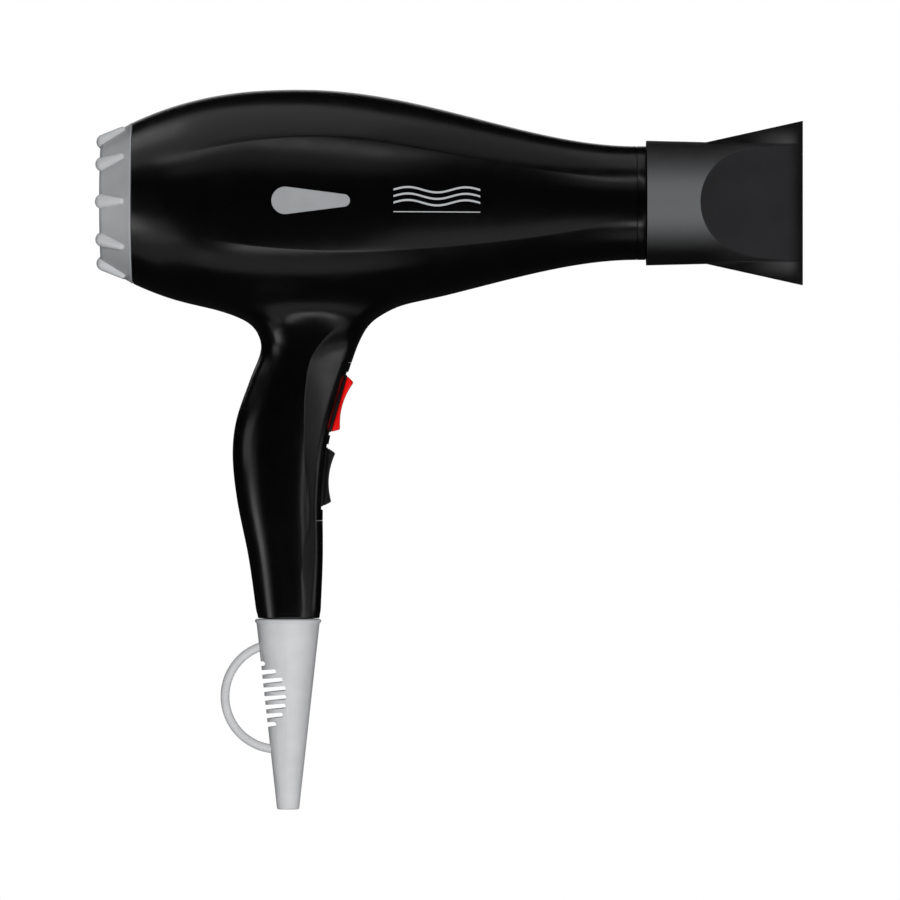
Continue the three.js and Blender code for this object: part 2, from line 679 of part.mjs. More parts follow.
// The duct that carries the motor in its middle and narrows to the heater sleeve.
function fanHousing() {
  const spigotBore = SLEEVE_RADIUS + GAP;
  const spigotRadius = spigotBore + 1.4;
  const coneFront = SLEEVE_REAR_X - 2;
  const duct = turnedAboutX([
    [DUCT_REAR_X, DUCT_BORE], [DUCT_REAR_X, DUCT_RADIUS], [DUCT_FRONT_X, DUCT_RADIUS],
    [coneFront, spigotRadius], [SLEEVE_REAR_X + 5, spigotRadius], [SLEEVE_REAR_X + 5, spigotBore],
    [coneFront, spigotBore], [DUCT_FRONT_X, DUCT_BORE],
  ]);
  const leadPort = block([DUCT_FRONT_X + 6, -6, -FAR], [LEAD_PORT_END_X, 6, 0]);
  const wallRear = MOTOR_REAR_X - GAP - 1.6;
  const cup = turnedAboutX([
    [wallRear, MOTOR_BOSS_RADIUS + GAP], [wallRear, CUP_RADIUS], [wallRear + VANE_LENGTH + 2, CUP_RADIUS],
    [wallRear + VANE_LENGTH + 2, CUP_RADIUS - DUCT_WALL], [MOTOR_REAR_X - GAP, CUP_RADIUS - DUCT_WALL],
    [MOTOR_REAR_X - GAP, MOTOR_BOSS_RADIUS + GAP],
  ]);
  const vane = block(
    [wallRear + 1, -0.7, CUP_RADIUS - DUCT_WALL / 2],
    [wallRear + 1 + VANE_LENGTH, 0.7, DUCT_RADIUS - DUCT_WALL / 2],
  );
  return joined([duct.subtract(leadPort), cup, around(vane, VANE_COUNT, 0.2)]);
}

// One fan blade: flat sections that turn flatter to the airflow as they go out.
function fanBlade() {
  const chord = 16;
  const half = 0.7;
  const tip = DUCT_BORE - FAN_CLEARANCE;
  const middle = FAN_REAR_X + FAN_LENGTH / 2;
  const rings = spread(HUB_RADIUS - 1, tip, 2).map((radius) => {
    const stagger = THREE.MathUtils.mapLinear(radius, HUB_RADIUS, tip, 0.62, 1.02);
    const corners = [[-chord / 2, -half], [0, -half - 1.2], [chord / 2, -half]];
    const outline = [...corners, ...corners.map(([along, across]) => [along, across + 2 * half]).reverse()];
    return outline.map(([along, across]) => {
      const x = middle + along * Math.cos(stagger) - across * Math.sin(stagger);
      const angle = (along * Math.sin(stagger) + across * Math.cos(stagger)) / radius;
      return new THREE.Vector3(x, radius * Math.sin(angle), radius * Math.cos(angle));
    });
  });
  return loft(rings);
}

function impeller() {
  const front = FAN_REAR_X + FAN_LENGTH;
  const bore = SHAFT_RADIUS + GAP;
  const dome = spread(0, Math.PI / 2, 3).map((angle) => [
    FAN_REAR_X + 5 - 5 * Math.cos(angle),
    Math.max(HUB_RADIUS * Math.sin(angle), bore + 0.6),
  ]);
  const hub = turnedAboutX([[FAN_REAR_X, bore], ...dome, [front, HUB_RADIUS], [front, bore]], 21);
  return hub.add(around(fanBlade(), BLADE_COUNT));
}

function motorCan() {
  const bossRear = MOTOR_REAR_X - BEARING_LENGTH;
  const inner = MOTOR_RADIUS - CAN_WALL;
  return turnedAboutX([
    [bossRear, BEARING_RADIUS + GAP], [bossRear, MOTOR_BOSS_RADIUS], [MOTOR_REAR_X, MOTOR_BOSS_RADIUS],
    [MOTOR_REAR_X, MOTOR_RADIUS], [MOTOR_FRONT_X, MOTOR_RADIUS], [MOTOR_FRONT_X, inner],
    [MOTOR_REAR_X + CAN_WALL, inner], [MOTOR_REAR_X + CAN_WALL, BEARING_RADIUS + GAP],
  ]);
}

const COMMUTATOR_RADIUS = 4.5;
const COMMUTATOR_X = MOTOR_FRONT_X - 9;
const BRUSH_LENGTH = 7;
const BRUSH_END_X = COMMUTATOR_X + 5.4;
const BELL_FRONT_X = MOTOR_FRONT_X + GAP + 2.4;

// The motor's front end, with an arm behind each brush.
function motorEndBell() {
  const rear = MOTOR_FRONT_X + GAP;
  const front = BELL_FRONT_X;
  const disc = turnedAboutX([
    [rear, BEARING_RADIUS + GAP], [rear, MOTOR_RADIUS - GAP], [front, MOTOR_RADIUS - GAP],
    [front, MOTOR_BOSS_RADIUS], [front + 2, MOTOR_BOSS_RADIUS], [front + 2, BEARING_RADIUS + GAP],
  ]);
  const arm = block([BRUSH_END_X + GAP, -3, COMMUTATOR_RADIUS + 2], [rear + 1, 3, 12]);
  return disc.add(arm).add(mirroredInZ(arm));
}

function mirroredInZ(piece) {
  return placed(piece, new THREE.Matrix4().makeScale(1, 1, -1));
}

function bearing(rear) {
  return tubeAboutX(rear, rear + BEARING_LENGTH, BEARING_RADIUS, SHAFT_RADIUS + GAP, 16);
}

function motorShaft() {
  const from = FAN_REAR_X + 1.5;
  const to = MOTOR_FRONT_X + 6;
  return turnedAboutX([[from, 0], [from, SHAFT_RADIUS], [to, SHAFT_RADIUS], [to, 0]], 12);
}

const ARMATURE_X = MOTOR_REAR_X + CAN_WALL + 4;
const MAGNET_OUTER = MOTOR_RADIUS - CAN_WALL - GAP;

// A laminated core with open slots along it.
function armature() {
  const radius = MAGNET_OUTER - MAGNET_THICKNESS - 0.8;
  const core = tubeAboutX(ARMATURE_X, ARMATURE_X + ARMATURE_LENGTH, radius, SHAFT_RADIUS + GAP, 24);
  const slot = block([ARMATURE_X - 1, -0.9, radius - 6], [ARMATURE_X + ARMATURE_LENGTH + 1, 0.9, radius + 1]);
  return core.subtract(around(slot, 8));
}

function commutator() {
  return tubeAboutX(COMMUTATOR_X, COMMUTATOR_X + 6, COMMUTATOR_RADIUS, SHAFT_RADIUS + GAP, 24);
}

function magnet() {
  const inner = MAGNET_OUTER - MAGNET_THICKNESS;
  const reach = THREE.MathUtils.degToRad(58);
  const ring = spread(-reach, reach, 10);
  const shape = ring.map((angle) => [MAGNET_OUTER * Math.cos(angle), MAGNET_OUTER * Math.sin(angle)]);
  const back = ring.map((angle) => [inner * Math.cos(angle), inner * Math.sin(angle)]).reverse();
  const section = [...shape, ...back];
  const rings = [ARMATURE_X, ARMATURE_X + ARMATURE_LENGTH].map((x) =>
    section.map(([y, z]) => new THREE.Vector3(x, y, z)),
  );
  return loftFlatEnded(rings, section);
}

// A straight loft whose end outline isn't star-shaped, so its ends are triangulated.
function loftFlatEnded([first, last], section) {
  const options = { depth: last[0].x - first[0].x, bevelEnabled: false };
  const toBarrel = new THREE.Matrix4().makeBasis(
    new THREE.Vector3(0, 1, 0), new THREE.Vector3(0, 0, 1), new THREE.Vector3(1, 0, 0),
  );
  const geometry = new THREE.ExtrudeGeometry(shapeOf(section), options).applyMatrix4(toBarrel);
  return solid(geometry.translate(first[0].x, 0, 0));
}

function brush() {
  const low = COMMUTATOR_RADIUS + GAP;
  return block([COMMUTATOR_X + 0.6, -1.8, low], [BRUSH_END_X, 1.8, low + BRUSH_LENGTH]);
}

// ---- Heater ----

const SLEEVE_BORE = SLEEVE_RADIUS - SLEEVE_WALL;
const COIL_RADIUS = SLEEVE_BORE - COIL_AIR;
const BOARD_REAR_X = SLEEVE_REAR_X + 2;
const BOARD_FRONT_X = SLEEVE_FRONT_X - 2;
const COIL_X = (BOARD_REAR_X + BOARD_FRONT_X - COIL_LENGTH) / 2;

// A cross board with wide tabs at its ends, and a slot from one end to the middle for the other board.
function boardShape(slotFromFront) {
  const tab = SLEEVE_BORE - GAP;
  const waist = COIL_RADIUS - COIL_WIRE_RADIUS - GAP;
  const middle = (BOARD_REAR_X + BOARD_FRONT_X) / 2;
  const slot = BOARD_THICKNESS / 2 + GAP;
  const [a, b, c, d] = [
    BOARD_REAR_X, BOARD_REAR_X + BOARD_TAB_LENGTH, BOARD_FRONT_X - BOARD_TAB_LENGTH, BOARD_FRONT_X,
  ];
  const rearEnd = slotFromFront ? [] : [[a, slot], [middle + GAP, slot], [middle + GAP, -slot], [a, -slot]];
  const frontEnd = slotFromFront ? [[d, -slot], [middle - GAP, -slot], [middle - GAP, slot], [d, slot]] : [];
  return shapeOf([
    ...rearEnd, [a, -tab], [b, -tab], [b, -waist], [c, -waist], [c, -tab], [d, -tab],
    ...frontEnd, [d, tab], [c, tab], [c, waist], [b, waist], [b, tab], [a, tab],
  ]);
}

class Helix extends THREE.Curve {
  constructor(start) {
    super();
    this.start = start;
  }
  getPoint(t, target = new THREE.Vector3()) {
    const angle = 2 * Math.PI * COIL_TURNS * t;
    const x = this.start + COIL_LENGTH * t;
    return target.set(x, COIL_RADIUS * Math.cos(angle), COIL_RADIUS * Math.sin(angle));
  }
}

function heaterCoil(offset) {
  return wireAlong(new Helix(COIL_X + offset), COIL_WIRE_RADIUS, 5, COIL_TURNS * 8);
}

function thermostat() {
  const floor = BOARD_THICKNESS / 2 + GAP;
  const middle = (BOARD_REAR_X + BOARD_FRONT_X) / 2;
  return block([middle, 3, floor], [middle + 11, COIL_RADIUS - 6.2, floor + 4]);
}

function thermalFuse() {
  const radius = 1.6;
  const height = BOARD_THICKNESS / 2 + GAP + radius;
  const middle = (BOARD_REAR_X + BOARD_FRONT_X) / 2;
  const bar = turnedAboutX([[0, 0], [0.6, radius], [9.4, radius], [10, 0]], 12);
  return moved(bar, middle - 16, -6.5, height);
}

// ---- Outlet and nozzle ----

const NECK_REAR_X = FRONT_X + GAP + OUTLET_RING_LENGTH;
const NECK_END_X = NECK_REAR_X + NECK_TUBE_LENGTH;
const OUTLET_GRILLE_X = NECK_END_X - 3.2;

function outletRing() {
  const spigot = NECK_RADIUS - WALL - FACET_ROOM - GAP;
  const seatBore = OUTLET_BORE_RADIUS + 1.3;
  return turnedAboutX([
    [FRONT_X - 5.4, OUTLET_BORE_RADIUS], [FRONT_X - 5.4, spigot], [FRONT_X + GAP, spigot],
    [FRONT_X + GAP, NECK_RADIUS], [NECK_REAR_X, NECK_RADIUS], [NECK_REAR_X, NECK_TUBE_RADIUS],
    [NECK_END_X, NECK_TUBE_RADIUS], [NECK_END_X, seatBore], [OUTLET_GRILLE_X - GAP, seatBore],
    [OUTLET_GRILLE_X - GAP, OUTLET_BORE_RADIUS],
  ], TURNING_SIDES);
}

function outletGrille() {
  const rim = OUTLET_BORE_RADIUS + 1;
  const rings = [[rim - 1.8, rim], [9.6, 11]];
  return moved(roundGrille(rings, 4, 1.2, OUTLET_GRILLE_THICKNESS, 2), OUTLET_GRILLE_X, 0, 0);
}

const COLLAR_X = NECK_REAR_X + GAP;
const NOZZLE_END_X = COLLAR_X + NOZZLE_LENGTH;
const SWIVEL_X = COLLAR_X + 1.5;
const SWIVEL_BORE = NECK_TUBE_RADIUS + GAP;
const COLLAR_BORE = SWIVEL_BORE + SWIVEL_RING_WALL + GAP;

function swivelRing() {
  const end = SWIVEL_X + SWIVEL_RING_LENGTH;
  return tubeAboutX(SWIVEL_X, end, SWIVEL_BORE + SWIVEL_RING_WALL, SWIVEL_BORE, TURNING_SIDES);
}

// The half width of the nozzle's flattened sides at x.
function scoopHalfWidth(x, inset) {
  const start = COLLAR_X + SCOOP_START;
  const share = THREE.MathUtils.clamp((NOZZLE_END_X - x) / (NOZZLE_END_X - start), 0, 1);
  return SLOT_HALF_WIDTH - inset + (COLLAR_RADIUS - SLOT_HALF_WIDTH) * share ** 2;
}

// A nozzle-shaped solid: a tapered round body with scooped sides, and a flat fan above and below.
function nozzleForm(inset, from, to) {
  const fanStart = COLLAR_X + COLLAR_LENGTH;
  const coneRadius = (x) => COLLAR_RADIUS - 0.024 * (x - COLLAR_X) - inset;
  const cone = [[from, 0], [from, coneRadius(from)], [to, coneRadius(to)], [to, 0]];
  const round = turnedAboutX(cone, TURNING_SIDES);
  const stations = spread(COLLAR_X + SCOOP_START, to, 8);
  const side = stations.map((x) => [x, scoopHalfWidth(x, inset)]);
  const start = [from - 1, COLLAR_RADIUS];
  const outline = [start, ...side, ...side.map(([x, y]) => [x, -y]).reverse(), [start[0], -start[1]]];
  const scoop = plateAlongZ(shapeOf(outline), -FAR, FAR);
  const root = coneRadius(fanStart) - 0.2;
  const end = THREE.MathUtils.mapLinear(to, fanStart, NOZZLE_END_X, root, SLOT_HALF_HEIGHT - inset);
  const fan = plateAlongY(
    shapeOf([[fanStart, -root], [to, -end], [to, end], [fanStart, root]]),
    -SLOT_HALF_WIDTH + inset, SLOT_HALF_WIDTH - inset,
  );
  return round.intersect(scoop).add(fan);
}

function nozzle() {
  const swivelEnd = SWIVEL_X + SWIVEL_RING_LENGTH + GAP;
  const inside = joined([
    nozzleForm(NOZZLE_WALL, swivelEnd + 1, NOZZLE_END_X + 1),
    tubeAboutX(COLLAR_X - 1, SWIVEL_X, SWIVEL_BORE, 0, TURNING_SIDES),
    tubeAboutX(SWIVEL_X - GAP, swivelEnd, COLLAR_BORE, 0, TURNING_SIDES),
    tubeAboutX(swivelEnd - 1, swivelEnd + 2, SWIVEL_BORE, 0, TURNING_SIDES),
  ]);
  return nozzleForm(0, COLLAR_X, NOZZLE_END_X).subtract(inside);
}

// ---- Cord boot and clamp ----

const BOOT_TOP_Z = HANDLE_END_Z - GAP;
const BOOT_END_Z = BOOT_TOP_Z - BOOT_LENGTH;

function bootSlots() {
  const slots = [];
  const middleZ = BOOT_TOP_Z - BOOT_SLOT_MIDDLE;
  const half = (BOOT_SLOT_COUNT - 1) / 2;
  for (let i = -half; i <= half; i++) {
    const depthEnd = -0.6 - 10.6 * (Math.abs(i) / (half + 0.25)) ** 2.6;
    const radius = BOOT_SLOT_WIDTH / 2;
    const shape = new THREE.Shape();
    shape.moveTo(depthEnd - radius - FAR / 8, -radius);
    shape.absarc(depthEnd - radius, 0, radius, -Math.PI / 2, Math.PI / 2, false);
    shape.lineTo(depthEnd - radius - FAR / 8, radius);
    const slot = plateAlongY(shape, -FAR, FAR, 2);
    const place = new THREE.Matrix4()
      .makeTranslation(0, 0, middleZ - i * BOOT_SLOT_PITCH)
      .multiply(new THREE.Matrix4().makeRotationY(-BOOT_SLOT_TILT));
    slots.push(placed(slot, place));
  }
  return joined(slots);
}

// The hanging loop: an arc that starts and ends inside the boot's wall.
class LoopArc extends THREE.Curve {
  getPoint(t, target = new THREE.Vector3()) {
    const angle = THREE.MathUtils.degToRad(106 + 160 * t);
    const centreZ = BOOT_TOP_Z - BOOT_SLOT_MIDDLE;
    return target.set(
      LOOP_CENTRE_X + LOOP_RADIUS * Math.cos(angle), 0, centreZ + LOOP_RADIUS * Math.sin(angle),
    );
  }
}

function cordBoot() {
  const flangeZ = HANDLE_END_Z + HANDLE_FLOOR + GAP;
  const body = turnedAboutZ([
    [flangeZ + 3, CORD_BORE_RADIUS], [flangeZ + 3, BOOT_FLANGE_RADIUS], [flangeZ, BOOT_FLANGE_RADIUS],
    [flangeZ, BOOT_NECK_RADIUS], [BOOT_TOP_Z, BOOT_NECK_RADIUS], [BOOT_TOP_Z, BOOT_TOP_RADIUS],
    [BOOT_TOP_Z - 0.6, BOOT_TOP_RADIUS + 0.5], [BOOT_TOP_Z - 1.4, BOOT_TOP_RADIUS + 0.5],
    [BOOT_TOP_Z - 2, BOOT_TOP_RADIUS], [BOOT_END_Z, BOOT_END_RADIUS], [BOOT_END_Z, CORD_BORE_RADIUS],
  ], 16);
  const loop = wireAlong(new LoopArc(), LOOP_WIRE_RADIUS, 8, 18);
  return body.subtract(bootSlots()).add(loop);
}

function cordClamp() {
  const plate = block(
    [-CLAMP_LENGTH / 2, GAP, CLAMP_Z - CLAMP_HEIGHT / 2],
    [CLAMP_LENGTH / 2, GAP + CLAMP_THICKNESS, CLAMP_Z + CLAMP_HEIGHT / 2],
  );
  const holes = CLAMP_SCREWS.map((screw) =>
    pinAlongY(screw.x, CLAMP_Z, -1, CLAMP_THICKNESS + 2, CLAMP_SCREW_RADIUS + GAP),
  );
  return plate.subtract(joined(holes));
}

// A screw along Y whose head's underside is at seat and whose tip points to -Y.
function screw(x, z, seat, tip, radius, headRadius) {
  const headTop = seat + SCREW_HEAD_HEIGHT;
  const shank = pinAlongY(x, z, tip, seat + 0.5, radius, 8);
  const head = pinAlongY(x, z, seat, headTop, headRadius);
  const cross = [
    block([x - 1.6, headTop - 0.9, z - 0.4], [x + 1.6, headTop + 1, z + 0.4]),
    block([x - 0.4, headTop - 0.9, z - 1.6], [x + 0.4, headTop + 1, z + 1.6]),
  ];
  return shank.add(head).subtract(joined(cross));
}

function lead(points) {
  const curve = new THREE.CatmullRomCurve3(points.map(([x, y, z]) => new THREE.Vector3(x, y, z)));
  return wireAlong(curve, LEAD_RADIUS, 5, 2 * points.length);
}

// The leads run up the back of the handle, forward under the duct and in through its port.
const portX = DUCT_FRONT_X + 12;
const boardLeadZ = -(SLEEVE_BORE - 7);
const underDuct = -(DUCT_RADIUS + 4.6);
const handleTopZ = -(BULGE_RADIUS - 1);
const switchBack = (index, y, away) => {
  const back = -WALL - GAP - SWITCH_BODY_DEPTH - GAP - away;
  const point = new THREE.Vector3(back, y, 0).applyMatrix4(SWITCHES[index].frame);
  return [point.x, point.y, point.z];
};

function motorLead() {
  const start = switchBack(0, 3, 0);
  return lead([
    start, switchBack(0, 3, 2.5), [start[0] - 4.5, 3, start[2] + 7], [-3.5, 3, handleTopZ - 8],
    [-1, 3, handleTopZ + 1.5], [8, 3, underDuct], [DUCT_RING_X, 3, underDuct],
    [portX - 6, 3, underDuct + 1], [portX - 1, 3, underDuct + 8], [portX - 4, 3, -22],
    [MOTOR_FRONT_X + 10, 3, -15], [MOTOR_FRONT_X + 6, 3, -14], [BELL_FRONT_X + GAP, 3, -14],
  ]);
}

function heaterLead() {
  const start = switchBack(1, -3, 0);
  return lead([
    start, switchBack(1, -3, 2), [start[0] - 3.5, -3, start[2] + 7], [-4.5, -3, -(BULGE_RADIUS + 44)],
    [-4, -3, handleTopZ - 14], [-2, -3, handleTopZ + 0.5], [8, -3, underDuct],
    [DUCT_RING_X, -3, underDuct], [portX - 4, -3, underDuct + 1], [portX + 3, -3, underDuct + 10],
    [LEAD_PORT_END_X, -2, boardLeadZ - 2], [BOARD_REAR_X - 5, 0, boardLeadZ],
    [BOARD_REAR_X - GAP, 0, boardLeadZ],
  ]);
}

// ---- Materials and assembly ----

const paint = (color, roughness, metalness = 0) =>
  new THREE.MeshStandardMaterial({ color, roughness, metalness });
const glossBlack = paint(0x0a0a0a, 0.12);
const satinBlack = paint(0x1c1c1c, 0.45);
const softGrey = paint(0x9a9a9a, 0.5);
const badgeGrey = paint(0x979797, 0.4);
const signalRed = paint(0xe00600, 0.3);
const insulator = paint(0xd8cfb4, 0.8);
const steel = paint(0xb8b8b8, 0.3, 1);
const copper = paint(0xb5703a, 0.35, 1);
const heatWire = paint(0x8c8579, 0.4, 1);
const darkPlastic = paint(0x26282a, 0.6);
const ferrite = paint(0x3a3a3c, 0.7);
const leadRed = paint(0xb02018, 0.5);

const dryer = new THREE.Group();

function addPart(name, piece, material, parent = dryer) {
  const mesh = piece.getMesh();
  const positions = new Float32Array(mesh.numVert * 3);
  for (let i = 0; i < mesh.numVert; i++) {
    positions.set(mesh.vertProperties.subarray(i * mesh.numProp, i * mesh.numProp + 3), 3 * i);
  }
  const geometry = new THREE.BufferGeometry();
  geometry.setAttribute("position", new THREE.BufferAttribute(positions, 3));
  geometry.setIndex(new THREE.BufferAttribute(mesh.triVerts, 1));
  geometry.computeVertexNormals();
  const part = new THREE.Mesh(geometry, material);
  part.name = name;
  parent.add(part);
  return part;
}

addPart("left_housing", halfOf(-FAR, -GAP / 2), glossBlack);
addPart("right_housing", halfOf(GAP / 2, FAR), glossBlack);
addPart("right_badge", badge(), badgeGrey);
addPart("left_badge", mirroredInY(badge()), badgeGrey);
addPart("switch_panel", switchPanel(), glossBlack);

for (const { name, frame } of SWITCHES) {
  const seat = new THREE.Group();
  seat.applyMatrix4(frame);
  addPart(`${name}_rocker`, rocker(), name === "speed" ? signalRed : glossBlack, seat);
  addPart(`${name}_switch_body`, switchBody(frame), darkPlastic, seat);
  dryer.add(seat);
}

addPart("rear_cap", rearCap(), softGrey);
addPart("inlet_grille", inletGrille(), softGrey);
addPart("filter_mesh", filterMesh(), steel);
addPart("filter_retainer", filterRetainer(), softGrey);

addPart("fan_housing", fanHousing(), darkPlastic);
addPart("impeller", impeller(), darkPlastic);
addPart("motor_shaft", motorShaft(), steel);
addPart("motor_can", motorCan(), steel);
addPart("motor_end_bell", motorEndBell(), darkPlastic);
addPart("rear_bearing", bearing(MOTOR_REAR_X - BEARING_LENGTH), copper);
addPart("front_bearing", bearing(MOTOR_FRONT_X + GAP + 0.4), copper);
addPart("armature", armature(), steel);
addPart("commutator", commutator(), copper);
addPart("right_magnet", magnet(), ferrite);
addPart("left_magnet", mirroredInY(magnet()), ferrite);
addPart("upper_brush", brush(), ferrite);
addPart("lower_brush", mirroredInZ(brush()), ferrite);

addPart("heater_sleeve", tubeAboutX(SLEEVE_REAR_X, SLEEVE_FRONT_X, SLEEVE_RADIUS, SLEEVE_BORE), insulator);
addPart(
  "upright_mica_board",
  plateAlongY(boardShape(true), -BOARD_THICKNESS / 2, BOARD_THICKNESS / 2),
  insulator,
);
addPart(
  "level_mica_board",
  plateAlongZ(boardShape(false), -BOARD_THICKNESS / 2, BOARD_THICKNESS / 2),
  insulator,
);
addPart("low_heat_coil", heaterCoil(0), heatWire);
addPart("high_heat_coil", heaterCoil(COIL_LENGTH / COIL_TURNS / 2), heatWire);
addPart("thermostat", thermostat(), darkPlastic);
addPart("thermal_fuse", thermalFuse(), steel);

addPart("outlet_ring", outletRing(), satinBlack);
addPart("outlet_grille", outletGrille(), satinBlack);
addPart("nozzle_swivel_ring", swivelRing(), satinBlack);
addPart("nozzle", nozzle(), satinBlack);

addPart("cord_boot", cordBoot(), softGrey);
addPart("cord_clamp", cordClamp(), darkPlastic);
for (const { name, x } of CLAMP_SCREWS) {
  const seat = GAP + CLAMP_THICKNESS + GAP;
  const tip = -SCREW_REACH + 2;
  addPart(`clamp_screw_${name}`, screw(x, CLAMP_Z, seat, tip, CLAMP_SCREW_RADIUS, 2.4), steel);
}
for (const fastener of HOUSING_SCREWS) {
  const tip = -SCREW_REACH;
  const made = screw(fastener.x, screwZ(fastener), SCREW_REACH + GAP, tip, SCREW_RADIUS, SCREW_HEAD_RADIUS);
  addPart(`housing_screw_${fastener.name}`, made, steel);
}
addPart("motor_lead", motorLead(), leadRed);
addPart("heater_lead", heaterLead(), darkPlastic);

dryer.position.set(-GRIP_X, 0, BULGE_RADIUS + GRIP_DOWN);

export default dryer;
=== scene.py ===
"""Hair dryer: the finished look of every piece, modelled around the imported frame.

Lengths in the classes are millimetres in the maker's frame, whose origin is on the barrel's axis
above the handle; at() turns them into metres in the frame's own axes.
"""
import logging
import math
from dataclasses import dataclass
from enum import Enum
from typing import Callable, ClassVar, Sequence

import bmesh
import bpy
from bpy.types import Material, Node, NodeSocket, Object
from mathutils import Matrix, Vector


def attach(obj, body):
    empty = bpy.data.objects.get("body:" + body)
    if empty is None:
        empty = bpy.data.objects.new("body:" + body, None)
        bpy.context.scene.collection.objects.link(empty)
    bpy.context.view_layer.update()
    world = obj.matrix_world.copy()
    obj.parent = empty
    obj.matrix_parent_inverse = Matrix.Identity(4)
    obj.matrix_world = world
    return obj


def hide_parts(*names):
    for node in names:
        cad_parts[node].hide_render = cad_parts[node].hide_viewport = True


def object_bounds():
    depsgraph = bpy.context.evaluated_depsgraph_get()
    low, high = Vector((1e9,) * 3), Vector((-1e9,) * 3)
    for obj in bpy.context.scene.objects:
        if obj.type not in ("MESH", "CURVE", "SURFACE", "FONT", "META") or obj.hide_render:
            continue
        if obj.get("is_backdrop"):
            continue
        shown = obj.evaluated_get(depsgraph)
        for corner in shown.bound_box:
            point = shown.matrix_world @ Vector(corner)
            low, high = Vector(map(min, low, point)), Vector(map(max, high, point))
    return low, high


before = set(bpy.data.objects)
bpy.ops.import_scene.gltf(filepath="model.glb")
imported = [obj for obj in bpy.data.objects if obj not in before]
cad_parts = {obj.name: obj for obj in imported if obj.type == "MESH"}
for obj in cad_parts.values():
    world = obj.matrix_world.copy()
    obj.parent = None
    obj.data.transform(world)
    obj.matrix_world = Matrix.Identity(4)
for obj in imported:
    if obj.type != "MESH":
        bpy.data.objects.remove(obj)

logging.basicConfig(level=logging.INFO, format="%(message)s")
LOG = logging.getLogger("hair_dryer")

Pair = tuple[float, float]
Place = tuple[float, float, float]
Profile = Sequence[Pair]
Colour = tuple[int, int, int]

MM = 0.001
AXIS = Vector((3.5, 0.0, 108.0))  # the maker's origin in the frame's axes, in millimetres
FINE_GAP = 0.12  # between pieces that sit in one another
FAR = 120.0  # farther out than any piece, for cutting blocks


def at(x: float, y: float, z: float) -> Vector:
    """Gives the place, in metres, of a point in the maker's millimetres.

    Args:
        x: Distance forward along the barrel.
        y: Distance to the far side.
        z: Height above the barrel's axis.

    Returns:
        The point in the frame's axes.
    """
    return (Vector((x, y, z)) + AXIS) * MM


def smoothstep(value: float, low: float, high: float) -> float:
    """Rises smoothly from 0 at low to 1 at high."""
    t = min(max((value - low) / (high - low), 0.0), 1.0)
    return t * t * (3 - 2 * t)


def plateau(value: float, start: float, full: float, falling: float, end: float) -> float:
    """Rises smoothly from 0 at start to 1 at full, and falls from falling to 0 at end."""
    return smoothstep(value, start, full) * (1 - smoothstep(value, falling, end))


def mix(first: float, second: float, share: float) -> float:
    """Gives the value a share of the way from first to second."""
    return first + (second - first) * share


def nearest(places: Sequence[float], value: float) -> int:
    """Gives the number of the place that is nearest to a value."""
    return min(range(len(places)), key=lambda i: abs(places[i] - value))


def spread(first: float, last: float, count: int) -> list[float]:
    """Lists count + 1 even steps from first to last."""
    return [mix(first, last, i / count) for i in range(count + 1)]


@dataclass(frozen=True)
class Course:
    """A smooth line through (place, value) pairs."""

    pairs: tuple[Pair, ...]

    def __call__(self, where: float) -> float:
        """Reads the line.

        Args:
            where: The place along the line.

        Returns:
            The line's value there.
        """
        pairs = self.pairs
        last = len(pairs) - 2
        i = 0
        while i < last and where > pairs[i + 1][0]:
            i += 1
        span = pairs[i + 1][0] - pairs[i][0]
        t = min(max((where - pairs[i][0]) / span, 0.0), 1.0)
        ease = t * t * (3 - 2 * t)
        lean = t * (1 - t) * (self.slope(i) * (1 - t) - self.slope(i + 1) * t) * span
        return mix(pairs[i][1], pairs[i + 1][1], ease) + lean

    def slope(self, i: int) -> float:
        """Gives the slope at a pair, from its two neighbours."""
        before = self.pairs[max(i - 1, 0)]
        after = self.pairs[min(i + 1, len(self.pairs) - 1)]
        return (after[1] - before[1]) / (after[0] - before[0])


class Cut(Enum):
    """How one solid works on another."""

    AWAY = "DIFFERENCE"
    COMMON = "INTERSECT"
    TOGETHER = "UNION"


class Spindle(Enum):
    """The axis that a turned piece is spun about."""

    X = (1.0, 0.0, 0.0)
    Y = (0.0, 1.0, 0.0)
    Z = (0.0, 0.0, 1.0)


